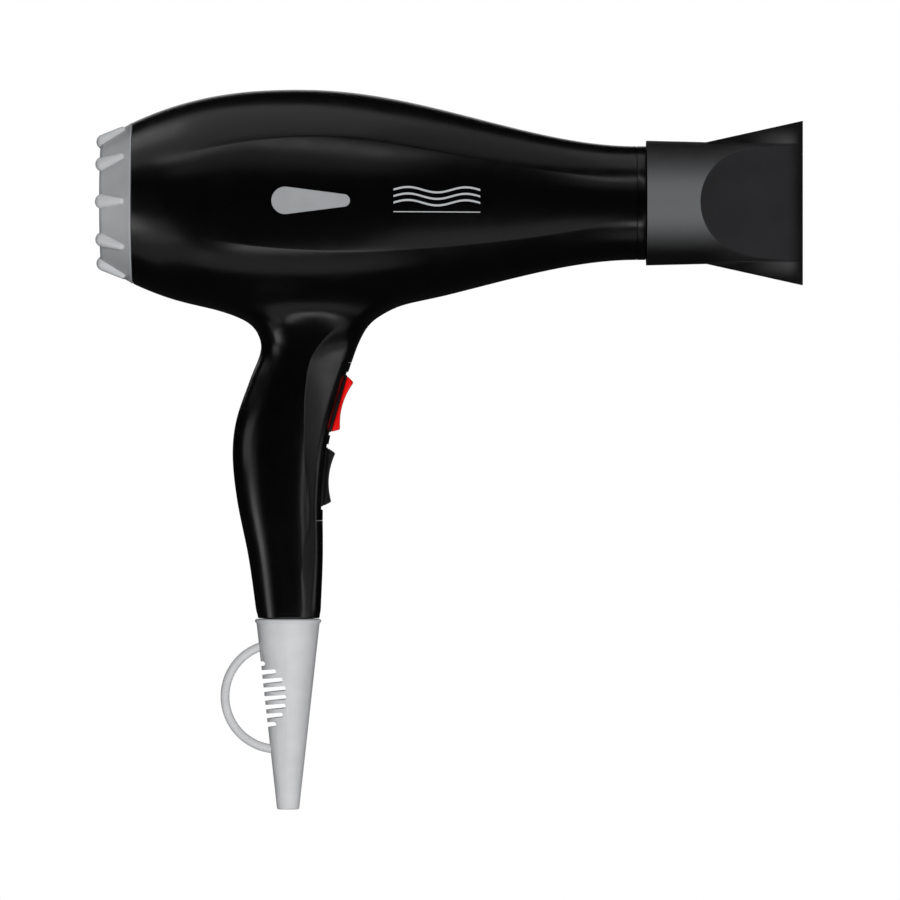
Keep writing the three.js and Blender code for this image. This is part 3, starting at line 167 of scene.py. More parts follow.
class Bench:
    """The modelling moves that the sub-assemblies share."""

    @staticmethod
    def clear() -> None:
        """Leaves edit mode and deselects everything."""
        if bpy.context.mode != "OBJECT":
            bpy.ops.object.mode_set(mode="OBJECT")
        bpy.ops.object.select_all(action="DESELECT")

    @staticmethod
    def only(piece: Object) -> None:
        """Selects one piece and makes it active."""
        Bench.clear()
        piece.select_set(True)
        bpy.context.view_layer.objects.active = piece

    @staticmethod
    def edit(piece: Object) -> None:
        """Opens a piece in edit mode with nothing selected."""
        Bench.only(piece)
        bpy.ops.object.mode_set(mode="EDIT")
        bpy.ops.mesh.select_all(action="DESELECT")

    @staticmethod
    def settle(piece: Object) -> None:
        """Applies a piece's place, turn and size to its mesh."""
        Bench.only(piece)
        bpy.ops.object.transform_apply(location=True, rotation=True, scale=True)

    @staticmethod
    def outward(piece: Object) -> None:
        """Merges a piece's doubled points and turns its faces outwards."""
        Bench.edit(piece)
        bpy.ops.mesh.select_all(action="SELECT")
        bpy.ops.mesh.remove_doubles(threshold=2e-6)
        bpy.ops.mesh.normals_make_consistent(inside=False)
        bpy.ops.object.mode_set(mode="OBJECT")

    @staticmethod
    def pick(piece: Object, test: Callable[[Vector], bool]) -> None:
        """Selects the faces, of a piece in edit mode, whose middle passes a test.

        Args:
            piece: The piece in edit mode.
            test: Told a face's middle, says whether to take the face.
        """
        mesh = bmesh.from_edit_mesh(piece.data)
        for face in [face for face in mesh.faces if test(face.calc_center_median())]:
            face.select_set(True)
        mesh.select_flush_mode()
        bmesh.update_edit_mesh(piece.data)

    @staticmethod
    def wire(name: str, points: Sequence[Vector]) -> Object:
        """Draws a closed line by pulling one point from corner to corner.

        Args:
            name: The new piece's name.
            points: The corners in metres, without the first repeated.

        Returns:
            The piece, in edit mode, with its line selected.
        """
        Bench.clear()
        bpy.ops.mesh.primitive_plane_add(size=MM, location=points[0])
        piece = bpy.context.object
        piece.name = piece.data.name = name
        bpy.ops.object.mode_set(mode="EDIT")
        bpy.ops.mesh.select_all(action="SELECT")
        bpy.ops.mesh.merge(type="CENTER")
        for here, there in zip(points, [*points[1:], points[0]]):
            bpy.ops.mesh.extrude_region_move(TRANSFORM_OT_translate={"value": there - here})
        bpy.ops.mesh.select_all(action="SELECT")
        bpy.ops.mesh.remove_doubles(threshold=1e-7)
        return piece

    @staticmethod
    def turned(
        name: str,
        profile: Profile,
        spindle: Spindle = Spindle.X,
        centre: Place = (0.0, 0.0, 0.0),
        steps: int = 96,
    ) -> Object:
        """Turns a closed profile into a solid, as on a lathe.

        Args:
            name: The new piece's name.
            profile: Pairs of the distance along the spindle and the radius.
            spindle: The axis to turn about.
            centre: A point on that axis, in millimetres.
            steps: How many steps a whole turn has.

        Returns:
            The solid, with its place in its mesh.
        """
        axis = Vector(spindle.value)
        side = Vector((0.0, 0.0, 1.0)) if spindle is not Spindle.Z else Vector((1.0, 0.0, 0.0))
        middle = Vector(centre)
        points = [at(*(middle + axis * along + side * radius)) for along, radius in profile]
        piece = Bench.wire(name, points)
        bpy.ops.mesh.spin(steps=steps, angle=2 * math.pi, center=at(*middle), axis=axis)
        Bench.outward(piece)
        Bench.settle(piece)
        return piece

    @staticmethod
    def ring(
        name: str,
        ends: Pair,
        radii: Pair,
        spindle: Spindle = Spindle.X,
        centre: Place = (0.0, 0.0, 0.0),
        steps: int = 96,
    ) -> Object:
        """Turns a plain ring, or a round bar if the inner radius is 0.

        Args:
            name: The new piece's name.
            ends: Where it starts and ends along the spindle.
            radii: The inner and the outer radius.
            spindle: The axis to turn about.
            centre: A point on that axis, in millimetres.
            steps: How many steps a whole turn has.

        Returns:
            The solid, with its place in its mesh.
        """
        (first, last), (inner, outer) = ends, radii
        profile = [(first, inner), (first, outer), (last, outer), (last, inner)]
        return Bench.turned(name, profile, spindle, centre, steps)

    @staticmethod
    def plate(name: str, outline: Sequence[Vector], depth: Vector) -> Object:
        """Fills an outline and pulls it out into a plate.

        Args:
            name: The new piece's name.
            outline: The corners in metres.
            depth: How far to pull the face, in millimetres.

        Returns:
            The plate, with its place in its mesh.
        """
        piece = Bench.wire(name, outline)
        bpy.ops.mesh.edge_face_add()
        bpy.ops.mesh.extrude_region_move(TRANSFORM_OT_translate={"value": depth * MM})
        Bench.outward(piece)
        Bench.settle(piece)
        return piece

    @staticmethod
    def apply(piece: Object, kind: str, **settings: object) -> None:
        """Adds a modifier to a piece and applies it.

        Args:
            piece: The piece to work on.
            kind: The modifier's type.
            **settings: Values for the modifier's own settings.
        """
        modifier = piece.modifiers.new(kind.lower(), kind)
        for setting, value in settings.items():
            setattr(modifier, setting, value)
        Bench.only(piece)
        bpy.ops.object.modifier_apply(modifier=modifier.name)

    @staticmethod
    def combine(piece: Object, tool: Object, cut: Cut) -> None:
        """Cuts a piece with a tool, joins them, or keeps what they share, and uses the tool up.

        Args:
            piece: The piece that changes. Where it gains the tool's faces, they keep their finish.
            tool: The other solid.
            cut: What to do.
        """
        Bench.apply(
            piece, "BOOLEAN", operation=cut.value, solver="MANIFOLD", object=tool,
            material_mode="TRANSFER",
        )
        bpy.data.meshes.remove(tool.data)

    @staticmethod
    def bevel(piece: Object, width: float, segments: int = 3, angle: float = 35.0) -> None:
        """Rounds a piece's sharp edges.

        Args:
            piece: The piece to work on.
            width: The rounding's width in millimetres.
            segments: How many facets the rounding has.
            angle: The smallest turn, in degrees, that counts as an edge.
        """
        Bench.apply(
            piece, "BEVEL", width=width * MM, segments=segments, limit_method="ANGLE",
            angle_limit=math.radians(angle), use_clamp_overlap=True,
        )

    @staticmethod
    def smooth(piece: Object, angle: float = 32.0) -> None:
        """Shades a piece smooth, apart from edges sharper than the angle in degrees."""
        Bench.only(piece)
        bpy.ops.object.shade_smooth_by_angle(angle=math.radians(angle))

    @staticmethod
    def copy(piece: Object, name: str, place: Matrix | None = None) -> Object:
        """Copies a piece with a mesh of its own.

        Args:
            piece: The piece to copy.
            name: The copy's name.
            place: Where to put the copy's mesh.

        Returns:
            The copy.
        """
        other = piece.copy()
        other.data = piece.data.copy()
        other.name = other.data.name = name
        bpy.context.scene.collection.objects.link(other)
        if place is not None:
            other.data.transform(place)
        return other

    @staticmethod
    def about(centre: Vector, axis: Spindle, degrees: float) -> Matrix:
        """Gives the turn about an axis through a point in metres."""
        turn = Matrix.Rotation(math.radians(degrees), 4, Vector(axis.value))
        return Matrix.Translation(centre) @ turn @ Matrix.Translation(-centre)

    @staticmethod
    def place(piece: Object, body: str, slot: str, *nodes: str) -> None:
        """Puts a piece on its body and hides the nodes that it stands for.

        Args:
            piece: The finished piece.
            body: The body it rides on.
            slot: A material slot's name; not used.
            *nodes: The frame's nodes that the piece replaces.
        """
        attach(piece, body)
        if nodes:
            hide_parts(*nodes)
        LOG.info("%s: %d faces on %s", piece.name, len(piece.data.polygons), body)


# ---- Finishes ----

class Nodes:
    """A new material's node tree, with short ways to add to it."""

    def __init__(self, name: str) -> None:
        """Starts a material with only its shader and output.

        Args:
            name: The material's name.
        """
        self.material: Material = bpy.data.materials.new(name)
        self.material.use_nodes = True
        self.tree = self.material.node_tree
        self.shader: Node = self.tree.nodes["Principled BSDF"]
        self.place: NodeSocket = self.add("ShaderNodeTexCoord").outputs["Object"]

    def add(self, kind: str, **inputs: object) -> Node:
        """Adds a node.

        Args:
            kind: The node's type.
            **inputs: Values or sockets for its inputs, with _ for a space in a name.

        Returns:
            The node.
        """
        node = self.tree.nodes.new(kind)
        for name, value in inputs.items():
            self.feed(node.inputs[name.replace("_", " ")], value)
        return node

    def feed(self, socket: NodeSocket, value: object) -> None:
        """Links a socket to an input, or writes a plain value to it."""
        if isinstance(value, NodeSocket):
            self.tree.links.new(value, socket)
        else:
            socket.default_value = value

    def math(self, operation: str, *values: object) -> NodeSocket:
        """Adds a sum of sockets or numbers and gives its result."""
        node = self.tree.nodes.new("ShaderNodeMath")
        node.operation = operation
        for socket, value in zip(node.inputs, values):
            self.feed(socket, value)
        return node.outputs[0]

    def axes(self) -> list[NodeSocket]:
        """Gives the place's X, Y and Z, in metres."""
        return list(self.add("ShaderNodeSeparateXYZ", Vector=self.place).outputs)

    def distance(self, first: NodeSocket, second: NodeSocket) -> NodeSocket:
        """Gives how far off a place is, from its distances along two axes."""
        squares = [self.math("POWER", side, 2.0) for side in (first, second)]
        return self.math("SQRT", self.math("ADD", *squares))

    def marks(self, pitch: float) -> NodeSocket:
        """Gives even waves along the barrel, a pitch in millimetres apart."""
        turns = self.math("MULTIPLY", self.axes()[0], 2 * math.pi / (pitch * MM))
        return self.math("SINE", turns)

    def noise(self, size: float, detail: float = 3.0) -> NodeSocket:
        """Gives soft noise whose blots are size millimetres across."""
        scale = 1 / (size * MM)
        return self.add(
            "ShaderNodeTexNoise", Vector=self.place, Scale=scale, Detail=detail,
        ).outputs[0]

    def ramp(self, value: NodeSocket, low: float, high: float) -> NodeSocket:
        """Stretches the middle of a 0 to 1 value to run from low to high."""
        return self.add(
            "ShaderNodeMapRange", Value=value, From_Min=0.3, From_Max=0.7, To_Min=low, To_Max=high,
        ).outputs[0]

    def between(self, value: NodeSocket, start: float, end: float) -> NodeSocket:
        """Gives 0 at a start and 1 at an end, both in millimetres, with a soft step between."""
        low, high = sorted((start, end))
        node = self.add(
            "ShaderNodeMapRange", Value=value, From_Min=low * MM, From_Max=high * MM,
            To_Min=float(start > end), To_Max=float(start < end),
        )
        node.interpolation_type = "SMOOTHSTEP"
        return node.outputs[0]

    def blend(self, share: object, first: object, second: object) -> NodeSocket:
        """Mixes two colours by a share."""
        node = self.tree.nodes.new("ShaderNodeMix")
        node.data_type = "RGBA"
        self.feed(node.inputs[0], share)
        self.feed(node.inputs[6], first)
        self.feed(node.inputs[7], second)
        return node.outputs[2]

    def relief(self, height: NodeSocket, strength: float, distance: float) -> None:
        """Raises the surface by a height, up to a distance in millimetres."""
        bump = self.add("ShaderNodeBump", Strength=strength, Distance=distance * MM, Height=height)
        self.feed(self.shader.inputs["Normal"], bump.outputs[0])


def linear(colour: Colour, gain: float = 1.0) -> tuple[float, float, float, float]:
    """Turns a screen colour from 0 to 255 into the shader's linear colour."""
    shares = [value / 255 for value in colour]
    bright = [v / 12.92 if v <= 0.04045 else ((v + 0.055) / 1.055) ** 2.4 for v in shares]
    return (*[min(value * gain, 1.0) for value in bright], 1.0)


@dataclass(frozen=True)
class Finish:
    """A moulded, printed or metal surface."""

    slot: str
    colour: Colour
    roughness: float
    metallic: float = 0.0
    mottle: float = 0.08
    blot: float = 9.0
    grain: float = 0.35
    grain_depth: float = 0.02

    def nodes(self) -> Nodes:
        """Builds the surface: uneven colour, uneven gloss and a fine grain.

        Returns:
            The material's nodes.
        """
        nodes = Nodes(self.slot)
        shader = nodes.shader
        patches = nodes.noise(self.blot)
        fine = nodes.noise(self.grain, 2.0)
        tone = nodes.blend(
            nodes.ramp(patches, 0.0, 1.0),
            linear(self.colour, 1 - self.mottle), linear(self.colour, 1 + self.mottle),
        )
        nodes.feed(shader.inputs["Base Color"], tone)
        nodes.feed(
            shader.inputs["Roughness"],
            nodes.ramp(patches, self.roughness * 0.9, self.roughness * 1.12),
        )
        shader.inputs["Metallic"].default_value = self.metallic
        nodes.relief(fine, 0.5, self.grain_depth)
        return nodes

    def material(self) -> Material:
        """Gives the finished material."""
        return self.nodes().material


@dataclass(frozen=True)
class PrintedGloss(Finish):
    """Gloss black with a small grey print on the near side: three waves of air over a line."""

    print_colour: Colour = (176, 178, 180)
    start: float = 44.5
    end: float = 80.6
    near_side: float = -30.0
    wave_levels: tuple[float, ...] = (4.6, 1.9, -0.8)
    wave_turn: float = 9.4
    wave_rise: float = 1.1
    wave_half_width: float = 0.42
    rule_level: float = -4.6
    rule_half_width: float = 0.2

    def material(self) -> Material:
        """Gives the gloss with its print."""
        nodes = self.nodes()
        shader = nodes.shader
        x, y, z = nodes.axes()
        x = nodes.math("SUBTRACT", x, (self.start + AXIS.x) * MM)
        along = nodes.math("DIVIDE", x, (self.end - self.start) * MM)
        height = nodes.math("SUBTRACT", z, AXIS.z * MM)
        within = nodes.math("MULTIPLY", nodes.math("GREATER_THAN", along, 0.0),
                            nodes.math("LESS_THAN", along, 1.0))
        near = nodes.math("LESS_THAN", y, self.near_side * MM)
        wave = nodes.math("SINE", nodes.math("MULTIPLY", along, self.wave_turn))
        wave = nodes.math("MULTIPLY", wave, self.wave_rise * MM)
        ink: NodeSocket | float = 0.0
        for level in self.wave_levels:
            off = nodes.math("SUBTRACT", height, nodes.math("ADD", wave, level * MM))
            line = nodes.math("LESS_THAN", nodes.math("ABSOLUTE", off), self.wave_half_width * MM)
            ink = nodes.math("MAXIMUM", ink, line)
        rule = nodes.math("ABSOLUTE", nodes.math("SUBTRACT", height, self.rule_level * MM))
        rule = nodes.math("LESS_THAN", rule, self.rule_half_width * MM)
        ink = nodes.math("MAXIMUM", ink, rule)
        ink = nodes.math("MULTIPLY", nodes.math("MULTIPLY", ink, within), near)
        tone = shader.inputs["Base Color"].links[0].from_socket
        nodes.feed(shader.inputs["Base Color"], nodes.blend(ink, tone, linear(self.print_colour)))
        return nodes.material


@dataclass(frozen=True)
class CollarPaintedSheen(Finish):
    """Satin black with painted light: a pale painted sheen round the nozzle's collar, palest along
    its sides and painted dark towards its top and bottom, painted shade and a painted highlight on
    the wings, and darker towards the front rim.
    """

    # Painted sheen: the collar's sides are painted pale, and its top and bottom are painted dark as
    # painted shade.
    sheen_painted_colour: Colour = (93, 94, 96)
    sheen_painted_shade: Colour = (8, 8, 9)
    band_heights: Pair = (3.5, 22.5)
    band_ends: Pair = (174.0, 194.0)
    collar_start: float = 150.4
    collar_radius: float = 26.0
    collar_taper: float = 0.024
    collar_top: float = 26.6
    # Painted shade on the wings, with a painted highlight along their inner edge towards the tip.
    wing_painted_shade: Colour = (8, 8, 9)
    wing_painted_highlight: Colour = (62, 62, 63)
    wing_height: float = 24.9
    wing_fade: float = 7.5
    flare: Pair = (190.0, 214.0)
    rim_colour: Colour = (9, 9, 10)
    rim_from: Pair = (206.0, 215.2)
    rim_power: float = 3.0

    def material(self) -> Material:
        """Gives the painted sheen and shade, parted where the collar's round surface ends."""
        nodes = self.nodes()
        x, y, z = nodes.axes()
        x = nodes.math("SUBTRACT", x, AXIS.x * MM)
        tall = nodes.math("ABSOLUTE", nodes.math("SUBTRACT", z, AXIS.z * MM))
        reach = nodes.distance(y, tall)
        along = nodes.math("SUBTRACT", x, self.collar_start * MM)
        cone = nodes.math("MULTIPLY_ADD", along, -self.collar_taper, self.collar_radius * MM)
        collar = nodes.math("MULTIPLY", nodes.math("GREATER_THAN", reach, cone),
                            nodes.math("LESS_THAN", reach, self.collar_top * MM))
        band = nodes.math("MULTIPLY", collar, nodes.between(x, *reversed(self.band_ends)))
        outside = nodes.math("MULTIPLY", nodes.math("GREATER_THAN", tall, self.wing_height * MM),
                             nodes.math("SUBTRACT", 1.0, band))
        # Painted highlight: the wings are paler along their inner edge, towards the tip.
        flare = nodes.between(x, *self.flare)
        edge = nodes.between(tall, self.wing_height, self.wing_height + self.wing_fade)
        painted_highlight_share = nodes.math("MULTIPLY", flare, nodes.math("SUBTRACT", 1.0, edge))
        wing = nodes.blend(painted_highlight_share, linear(self.wing_painted_shade), linear(self.wing_painted_highlight))
        # Painted sheen along the collar's sides, fading to painted shade at its top and bottom.
        painted_sheen = nodes.blend(nodes.between(tall, *self.band_heights),
                             linear(self.sheen_painted_colour), linear(self.sheen_painted_shade))
        tone = nodes.shader.inputs["Base Color"].links[0].from_socket
        tone = nodes.blend(outside, tone, wing)
        rim = nodes.math("POWER", nodes.between(x, *self.rim_from), self.rim_power)
        tone = nodes.blend(rim, tone, linear(self.rim_colour))
        nodes.feed(nodes.shader.inputs["Base Color"], nodes.blend(band, tone, painted_sheen))
        return nodes.material


@dataclass(frozen=True)
class Flaked(Finish):
    """Layered mica: pale flakes in a warm ground."""

    flake: float = 3.0
    pale: Colour = (206, 192, 160)
    ground: Colour = (148, 128, 98)
    contrast: float = 1.2

    def material(self) -> Material:
        """Gives the mica."""
        nodes = self.nodes()
        cells = nodes.add("ShaderNodeTexVoronoi", Vector=nodes.place, Scale=1 / (self.flake * MM))
        share = nodes.math("MULTIPLY", cells.outputs["Distance"], self.contrast)
        tone = nodes.blend(share, linear(self.pale), linear(self.ground))
        nodes.feed(nodes.shader.inputs["Base Color"], tone)
        return nodes.material


@dataclass(frozen=True)
class Brushed(Finish):
    """Metal with fine turning marks round the barrel's axis."""

    pitch: float = 0.5
    mark_share: float = 0.04

    def material(self) -> Material:
        """Gives the turned metal."""
        nodes = self.nodes()
        marks = nodes.marks(self.pitch)
        uneven = nodes.math("MULTIPLY_ADD", marks, self.mark_share, nodes.noise(2.0))
        nodes.feed(nodes.shader.inputs["Roughness"],
                   nodes.ramp(uneven, self.roughness * 0.8, self.roughness * 1.3))
        return nodes.material


@dataclass(frozen=True)
class Wound(Finish):
    """Enamelled or bare wire laid turn beside turn."""

    pitch: float = 0.6

    def material(self) -> Material:
        """Gives the wound wire."""
        nodes = self.nodes()
        nodes.relief(nodes.marks(self.pitch), strength=0.7, distance=0.15)
        return nodes.material


class Paints:
    """The dryer's finishes, each made once."""

    def __init__(self) -> None:
        """Makes every finish's material."""
        gloss = {"grain": 2.5, "grain_depth": 0.004, "mottle": 0.12}
        satin = {"grain": 0.22, "grain_depth": 0.03}
        soft = {"grain": 0.3, "grain_depth": 0.02, "mottle": 0.04}
        lead = {"grain": 1.2, "grain_depth": 0.02}
        black, soft_black = (3, 3, 4), (34, 34, 36)
        recipes = {
            "gloss": Finish("gloss_black", black, 0.23, **gloss),
            "gloss_print": PrintedGloss("gloss_black_printed", black, 0.23, **gloss),
            "nozzle": CollarPaintedSheen("nozzle_black", soft_black, 0.5, grain=0.22),
            "satin": Finish("satin_black", soft_black, 0.42, **satin),
            "switch": Finish("switch_black", (20, 20, 21), 0.4, **satin),
            "keel": Finish("keel_black", (8, 8, 9), 0.5, **satin),
            "dark": Finish("dark_plastic", (30, 30, 32), 0.5, grain=0.3, grain_depth=0.03),
            "grey": Finish("soft_grey", (188, 190, 192), 0.38, **soft),
            # Painted shade: the cap's shell is a darker copy of the ribs' soft grey, so that the
            # ribs look more brightly lit.
            "cap": Finish("cap_grey_painted_shade", (156, 158, 160), 0.36, **soft),
            "rubber": Finish(
                "boot_grey", (198, 199, 201), 0.4, grain=0.25, grain_depth=0.03, mottle=0.05,
            ),
            "badge": Finish(
                "badge_grey", (150, 152, 154), 0.4, grain=0.2, grain_depth=0.012, mottle=0.04,
            ),
            "red": Finish(
                "signal_red", (226, 10, 8), 0.28, grain=0.8, grain_depth=0.006, mottle=0.05,
            ),
            "mica": Flaked("mica", (190, 174, 140), 0.55),
            "steel": Brushed("steel", (176, 178, 180), 0.34, metallic=1.0),
            "bronze": Brushed("bronze", (176, 132, 84), 0.4, metallic=1.0),
            "heat_wire": Wound("heat_wire", (150, 146, 140), 0.35, metallic=1.0),
            "copper": Wound("armature_wire", (170, 92, 52), 0.38, metallic=1.0),
            "ferrite": Finish("ferrite", (52, 50, 50), 0.7, grain=0.5, grain_depth=0.06),
            "lead_red": Finish("lead_red", (170, 28, 24), 0.4, **lead),
            "lead_black": Finish("lead_black", (26, 26, 28), 0.4, **lead),
            "gauze": Finish("filter_gauze", (70, 72, 74), 0.5, grain=0.3),
        }
        self.made: dict[str, Material] = {
            name: finish.material() for name, finish in recipes.items()
        }

    def dress(self, piece: Object, name: str) -> None:
        """Gives a piece one finish all over."""
        piece.data.materials.clear()
        piece.data.materials.append(self.made[name])


# ---- Casing ----

@dataclass
class Casing:
    """The two housing halves, the switch strip on the handle's front edge and the badges."""

    paints: Paints
    rear_x: float = -64.9
    bulge_x: float = 5.0
    front_x: float = 146.2
    bulge_radius: float = 47.6
    rear_drop: float = 13.6
    rear_power: float = 2.4
    neck_drop: float = 23.7
    neck_power: float = 1.06
    wall: float = 2.3
    panel_start: float = -47.9
    panel_end: float = 142.2
    panel_fades: Pair = (35.0, 60.0)
    panel_depth: float = 1.5
    crease_width: float = 2.2
    crease_snap: float = 0.13
    belly_angles: Pair = (235.0, 305.0)
    belly_swell: float = 1.006
    handle_length: float = 126.7
    squareness: float = 2.3
    facet_end: float = 0.82
    facet_fades: tuple[float, float, float, float] = (3.0, 14.0, 84.0, 122.0)
    facet_hollow: float = 0.06
    ridge_width: float = 0.07
    ridge_snap: float = 0.009
    blend_middle: float = 8.0
    blend_reaches: Pair = (46.0, 60.0)
    blend_angles: Pair = (33.0, 52.0)
    grip_fades: tuple[float, float, float, float] = (5.0, 22.0, 123.0, 126.0)
    top_crease: Course = Course(((0, 0.45), (0.24, 0.555), (0.41, 0.565), (0.66, 0.5), (1, 0.4)))
    low_crease: Course = Course(((0, 0.32), (0.24, 0.42), (0.55, 0.48), (0.81, 0.495), (1, 0.38)))
    back: Course = Course((
        (-0.06, -30), (0, -19.7), (0.053, -13), (0.106, -11.3), (0.21, -16), (0.345, -21.8),
        (0.46, -23.3), (0.61, -21.4), (0.8, -16.6), (1, -13),
    ))
    front: Course = Course((
        (-0.06, 46), (0, 37.4), (0.053, 32.3), (0.106, 29), (0.21, 24.2), (0.345, 19.2),
        (0.46, 16.3), (0.61, 14.7), (0.8, 14.6), (1, 13.6),
    ))
    half_width: Course = Course((
        (-0.06, 22), (0, 20.3), (0.106, 18.2), (0.345, 17.4), (0.61, 16.4), (0.8, 14.9), (1, 13.5),
    ))
    ridge: Course = Course((
        (-8, 34), (0.3, 27.3), (8.7, 16.4), (20.9, 8.8), (52, 7.1), (85.5, 8.0), (102, 6.3),
        (127, 5.5),
    ))
    stations: tuple[float, ...] = (
        -64.9, -63.6, -58.0, -51.0, -44.0, -37.0, -30.0, -21.0, -12.0, -3.0, 6.0, 15.0, 23.0, 26.0,
        29.0, 37.0, 46.0, 54.0, 64.0, 76.0, 89.0, 102.0, 115.0, 127.0, 136.0, 142.0, 145.2, 146.2,
    )
    block_xs: tuple[float, ...] = (
        -30.0, -21.0, -12.0, -3.0, 6.0, 15.0, 23.0, 26.0, 29.0, 37.0, 46.0,
    )
    block_angles: tuple[float, ...] = (-27.9, -14.0, 0.0, 14.0, 27.9)
    handle_steps: tuple[float, ...] = (
        1.5, 6.7, 13.4, 20.0, 26.6, 35.0, 43.7, 51.0, 58.3, 67.8, 77.3, 89.0, 101.4, 112.0, 120.0,
        125.9, 126.7,
    )
    screw_places: tuple[Pair, ...] = ((9.5, 15.0), (44.5, -11.0), (98.0, -1.0))
    well_radii: Pair = (3.3, 4.6)
    well_start: float = 9.0
    strip_from: float = 19.2
    strip_to: float = 86.0
    strip_depth: float = 4.0
    rocker_places: Pair = (36.6, 67.4)
    window_half: Pair = (5.8, 13.8)
    badge_x: float = -0.5
    badge_radii: Pair = (5.7, 2.6)
    badge_length: float = 24.3
    badge_thickness: float = 2.2
    badge_sink: float = 0.6364

    def radius(self, x: float) -> float:
        """Gives the barrel's radius at x."""
        if x < self.bulge_x:
            share = min((self.bulge_x - x) / (self.bulge_x - self.rear_x), 1.05)
            return self.bulge_radius - self.rear_drop * share ** self.rear_power
        share = min((x - self.bulge_x) / (self.front_x - self.bulge_x), 1.0) ** self.neck_power
        return self.bulge_radius - self.neck_drop * smoothstep(share, 0, 1)

    def creases(self, x: float) -> Pair:
        """Gives the angles of the side's lower and upper crease at x, in radians."""
        along = (x - self.panel_start) / (self.panel_end - self.panel_start)
        return -math.asin(self.low_crease(along)), math.asin(self.top_crease(along))

    def reach(self, x: float, angle: float) -> float:
        """Gives the barrel's reach from its axis, with the side's shallow hollow.

        Args:
            x: Distance along the barrel.
            angle: The angle above the horizontal, from the near side, in radians.

        Returns:
            The distance from the axis.
        """
        low, top = self.creases(x)
        folded = angle if abs(angle) <= math.pi / 2 else math.copysign(math.pi, angle) - angle
        share = (folded - low) / (top - low)
        if not 0 < share < 1:
            return self.radius(x)
        rear_fade, front_fade = self.panel_fades
        depth = self.panel_depth * smoothstep(x, self.panel_start, self.panel_start + rear_fade)
        depth *= 1 - smoothstep(x, self.panel_end - front_fade, self.panel_end)
        return self.radius(x) - depth * (1 - (2 * share - 1) ** 2)

    def columns(self, x: float) -> list[float]:
        """Lists the angles of the barrel's lengthwise lines at x, in degrees, once round."""
        low, top = (math.degrees(angle) for angle in self.creases(x))
        tight = self.crease_width
        side = [low, low + tight, *spread(low + tight, top - tight, 4)[1:-1], top - tight]
        crown = [top, *spread(top + tight, 180 - top - tight, 6)[:-1], 180 - top - tight]
        away = [180 - angle for angle in [top, *reversed(side[1:])]]
        block = [270 + angle for angle in self.block_angles]
        under = [
            180 - low, 180 - low + tight, mix(180 - low + tight, block[0], 0.5), *block,
            mix(360 + low - tight, block[-1], 0.5), 360 + low - tight,
        ]
        return [*side, *crown, *away, *under]

    def level(self, down: float) -> float:
        """Gives the height, from the barrel's axis, of a level below the barrel."""
        return -(self.bulge_radius + down)

    def handle_depth(self, down: float) -> Pair:
        """Gives the middle of the handle, front to back, and half its depth, at a level."""
        share = down / self.handle_length
        back, front = self.back(share), self.front(share)
        return (back + front) / 2, (front - back) / 2

    def along(self, x: float, down: float) -> float:
        """Gives x as a place from the handle's back, -1, to its front, 1."""
        middle, half = self.handle_depth(down)
        return (x - middle) / half

    def handle_point(self, down: float, across: float, along: float) -> Vector:
        """Gives a point of the handle's squared oval.

        Args:
            down: Distance below the barrel.
            across: The block's place across the handle, from -1 to 1.
            along: The block's place from the back, -1, to the front, 1.

        Returns:
            The point in millimetres.
        """
        middle, half_depth = self.handle_depth(down)
        half = self.half_width(down / self.handle_length)
        size = max(abs(across), abs(along))
        stretch = 1.0
        if size > 0:
            power = self.squareness
            stretch = size / (abs(across) ** power + abs(along) ** power) ** (1 / power)
        x = middle + half_depth * along * stretch
        return Vector((x, half * across * stretch, self.level(down)))

    def cage(self) -> Object:
        """Models the coarse form: a tube with the handle pulled out of its underside.

        Returns:
            The form's cage, open at both ends of the barrel.
        """
        length, steps = 0.2, len(self.stations) - 1
        Bench.clear()
        bpy.ops.mesh.primitive_cylinder_add(
            vertices=len(self.columns(0.0)), radius=self.bulge_radius * MM, depth=length,
            end_fill_type="NOTHING", rotation=(0, math.pi / 2, 0),
        )
        piece = bpy.context.object
        piece.name = piece.data.name = "casing_form"
        Bench.settle(piece)
        Bench.edit(piece)
        for i in range(1, steps):
            bpy.ops.mesh.select_all(action="SELECT")
            cut = mix(-length / 2, length / 2, i / steps)
            bpy.ops.mesh.bisect(plane_co=(cut, 0, 0), plane_no=(1, 0, 0))
        bpy.ops.object.mode_set(mode="OBJECT")
        rounds: dict[int, list[bpy.types.MeshVertex]] = {}
        for vertex in piece.data.vertices:
            step = round((vertex.co.x + length / 2) / length * steps)
            rounds.setdefault(step, []).append(vertex)
        belly_from, belly_to = self.belly_angles
        for step, members in rounds.items():
            x = self.stations[step]
            members.sort(key=lambda v: (math.atan2(v.co.z, -v.co.y) + 0.05) % (2 * math.pi))
            for vertex, degrees in zip(members, self.columns(x)):
                swell = self.belly_swell if belly_from < degrees < belly_to else 1.0
                vertex.co = self.barrel_point(x, self.radius(x) * swell, math.radians(degrees))
        self.pull_handle(piece)
        return piece

    def barrel_point(self, x: float, reach: float, angle: float) -> Vector:
        """Gives the place, in metres, at a reach and an angle round the barrel's axis."""
        return at(x, -reach * math.cos(angle), reach * math.sin(angle))

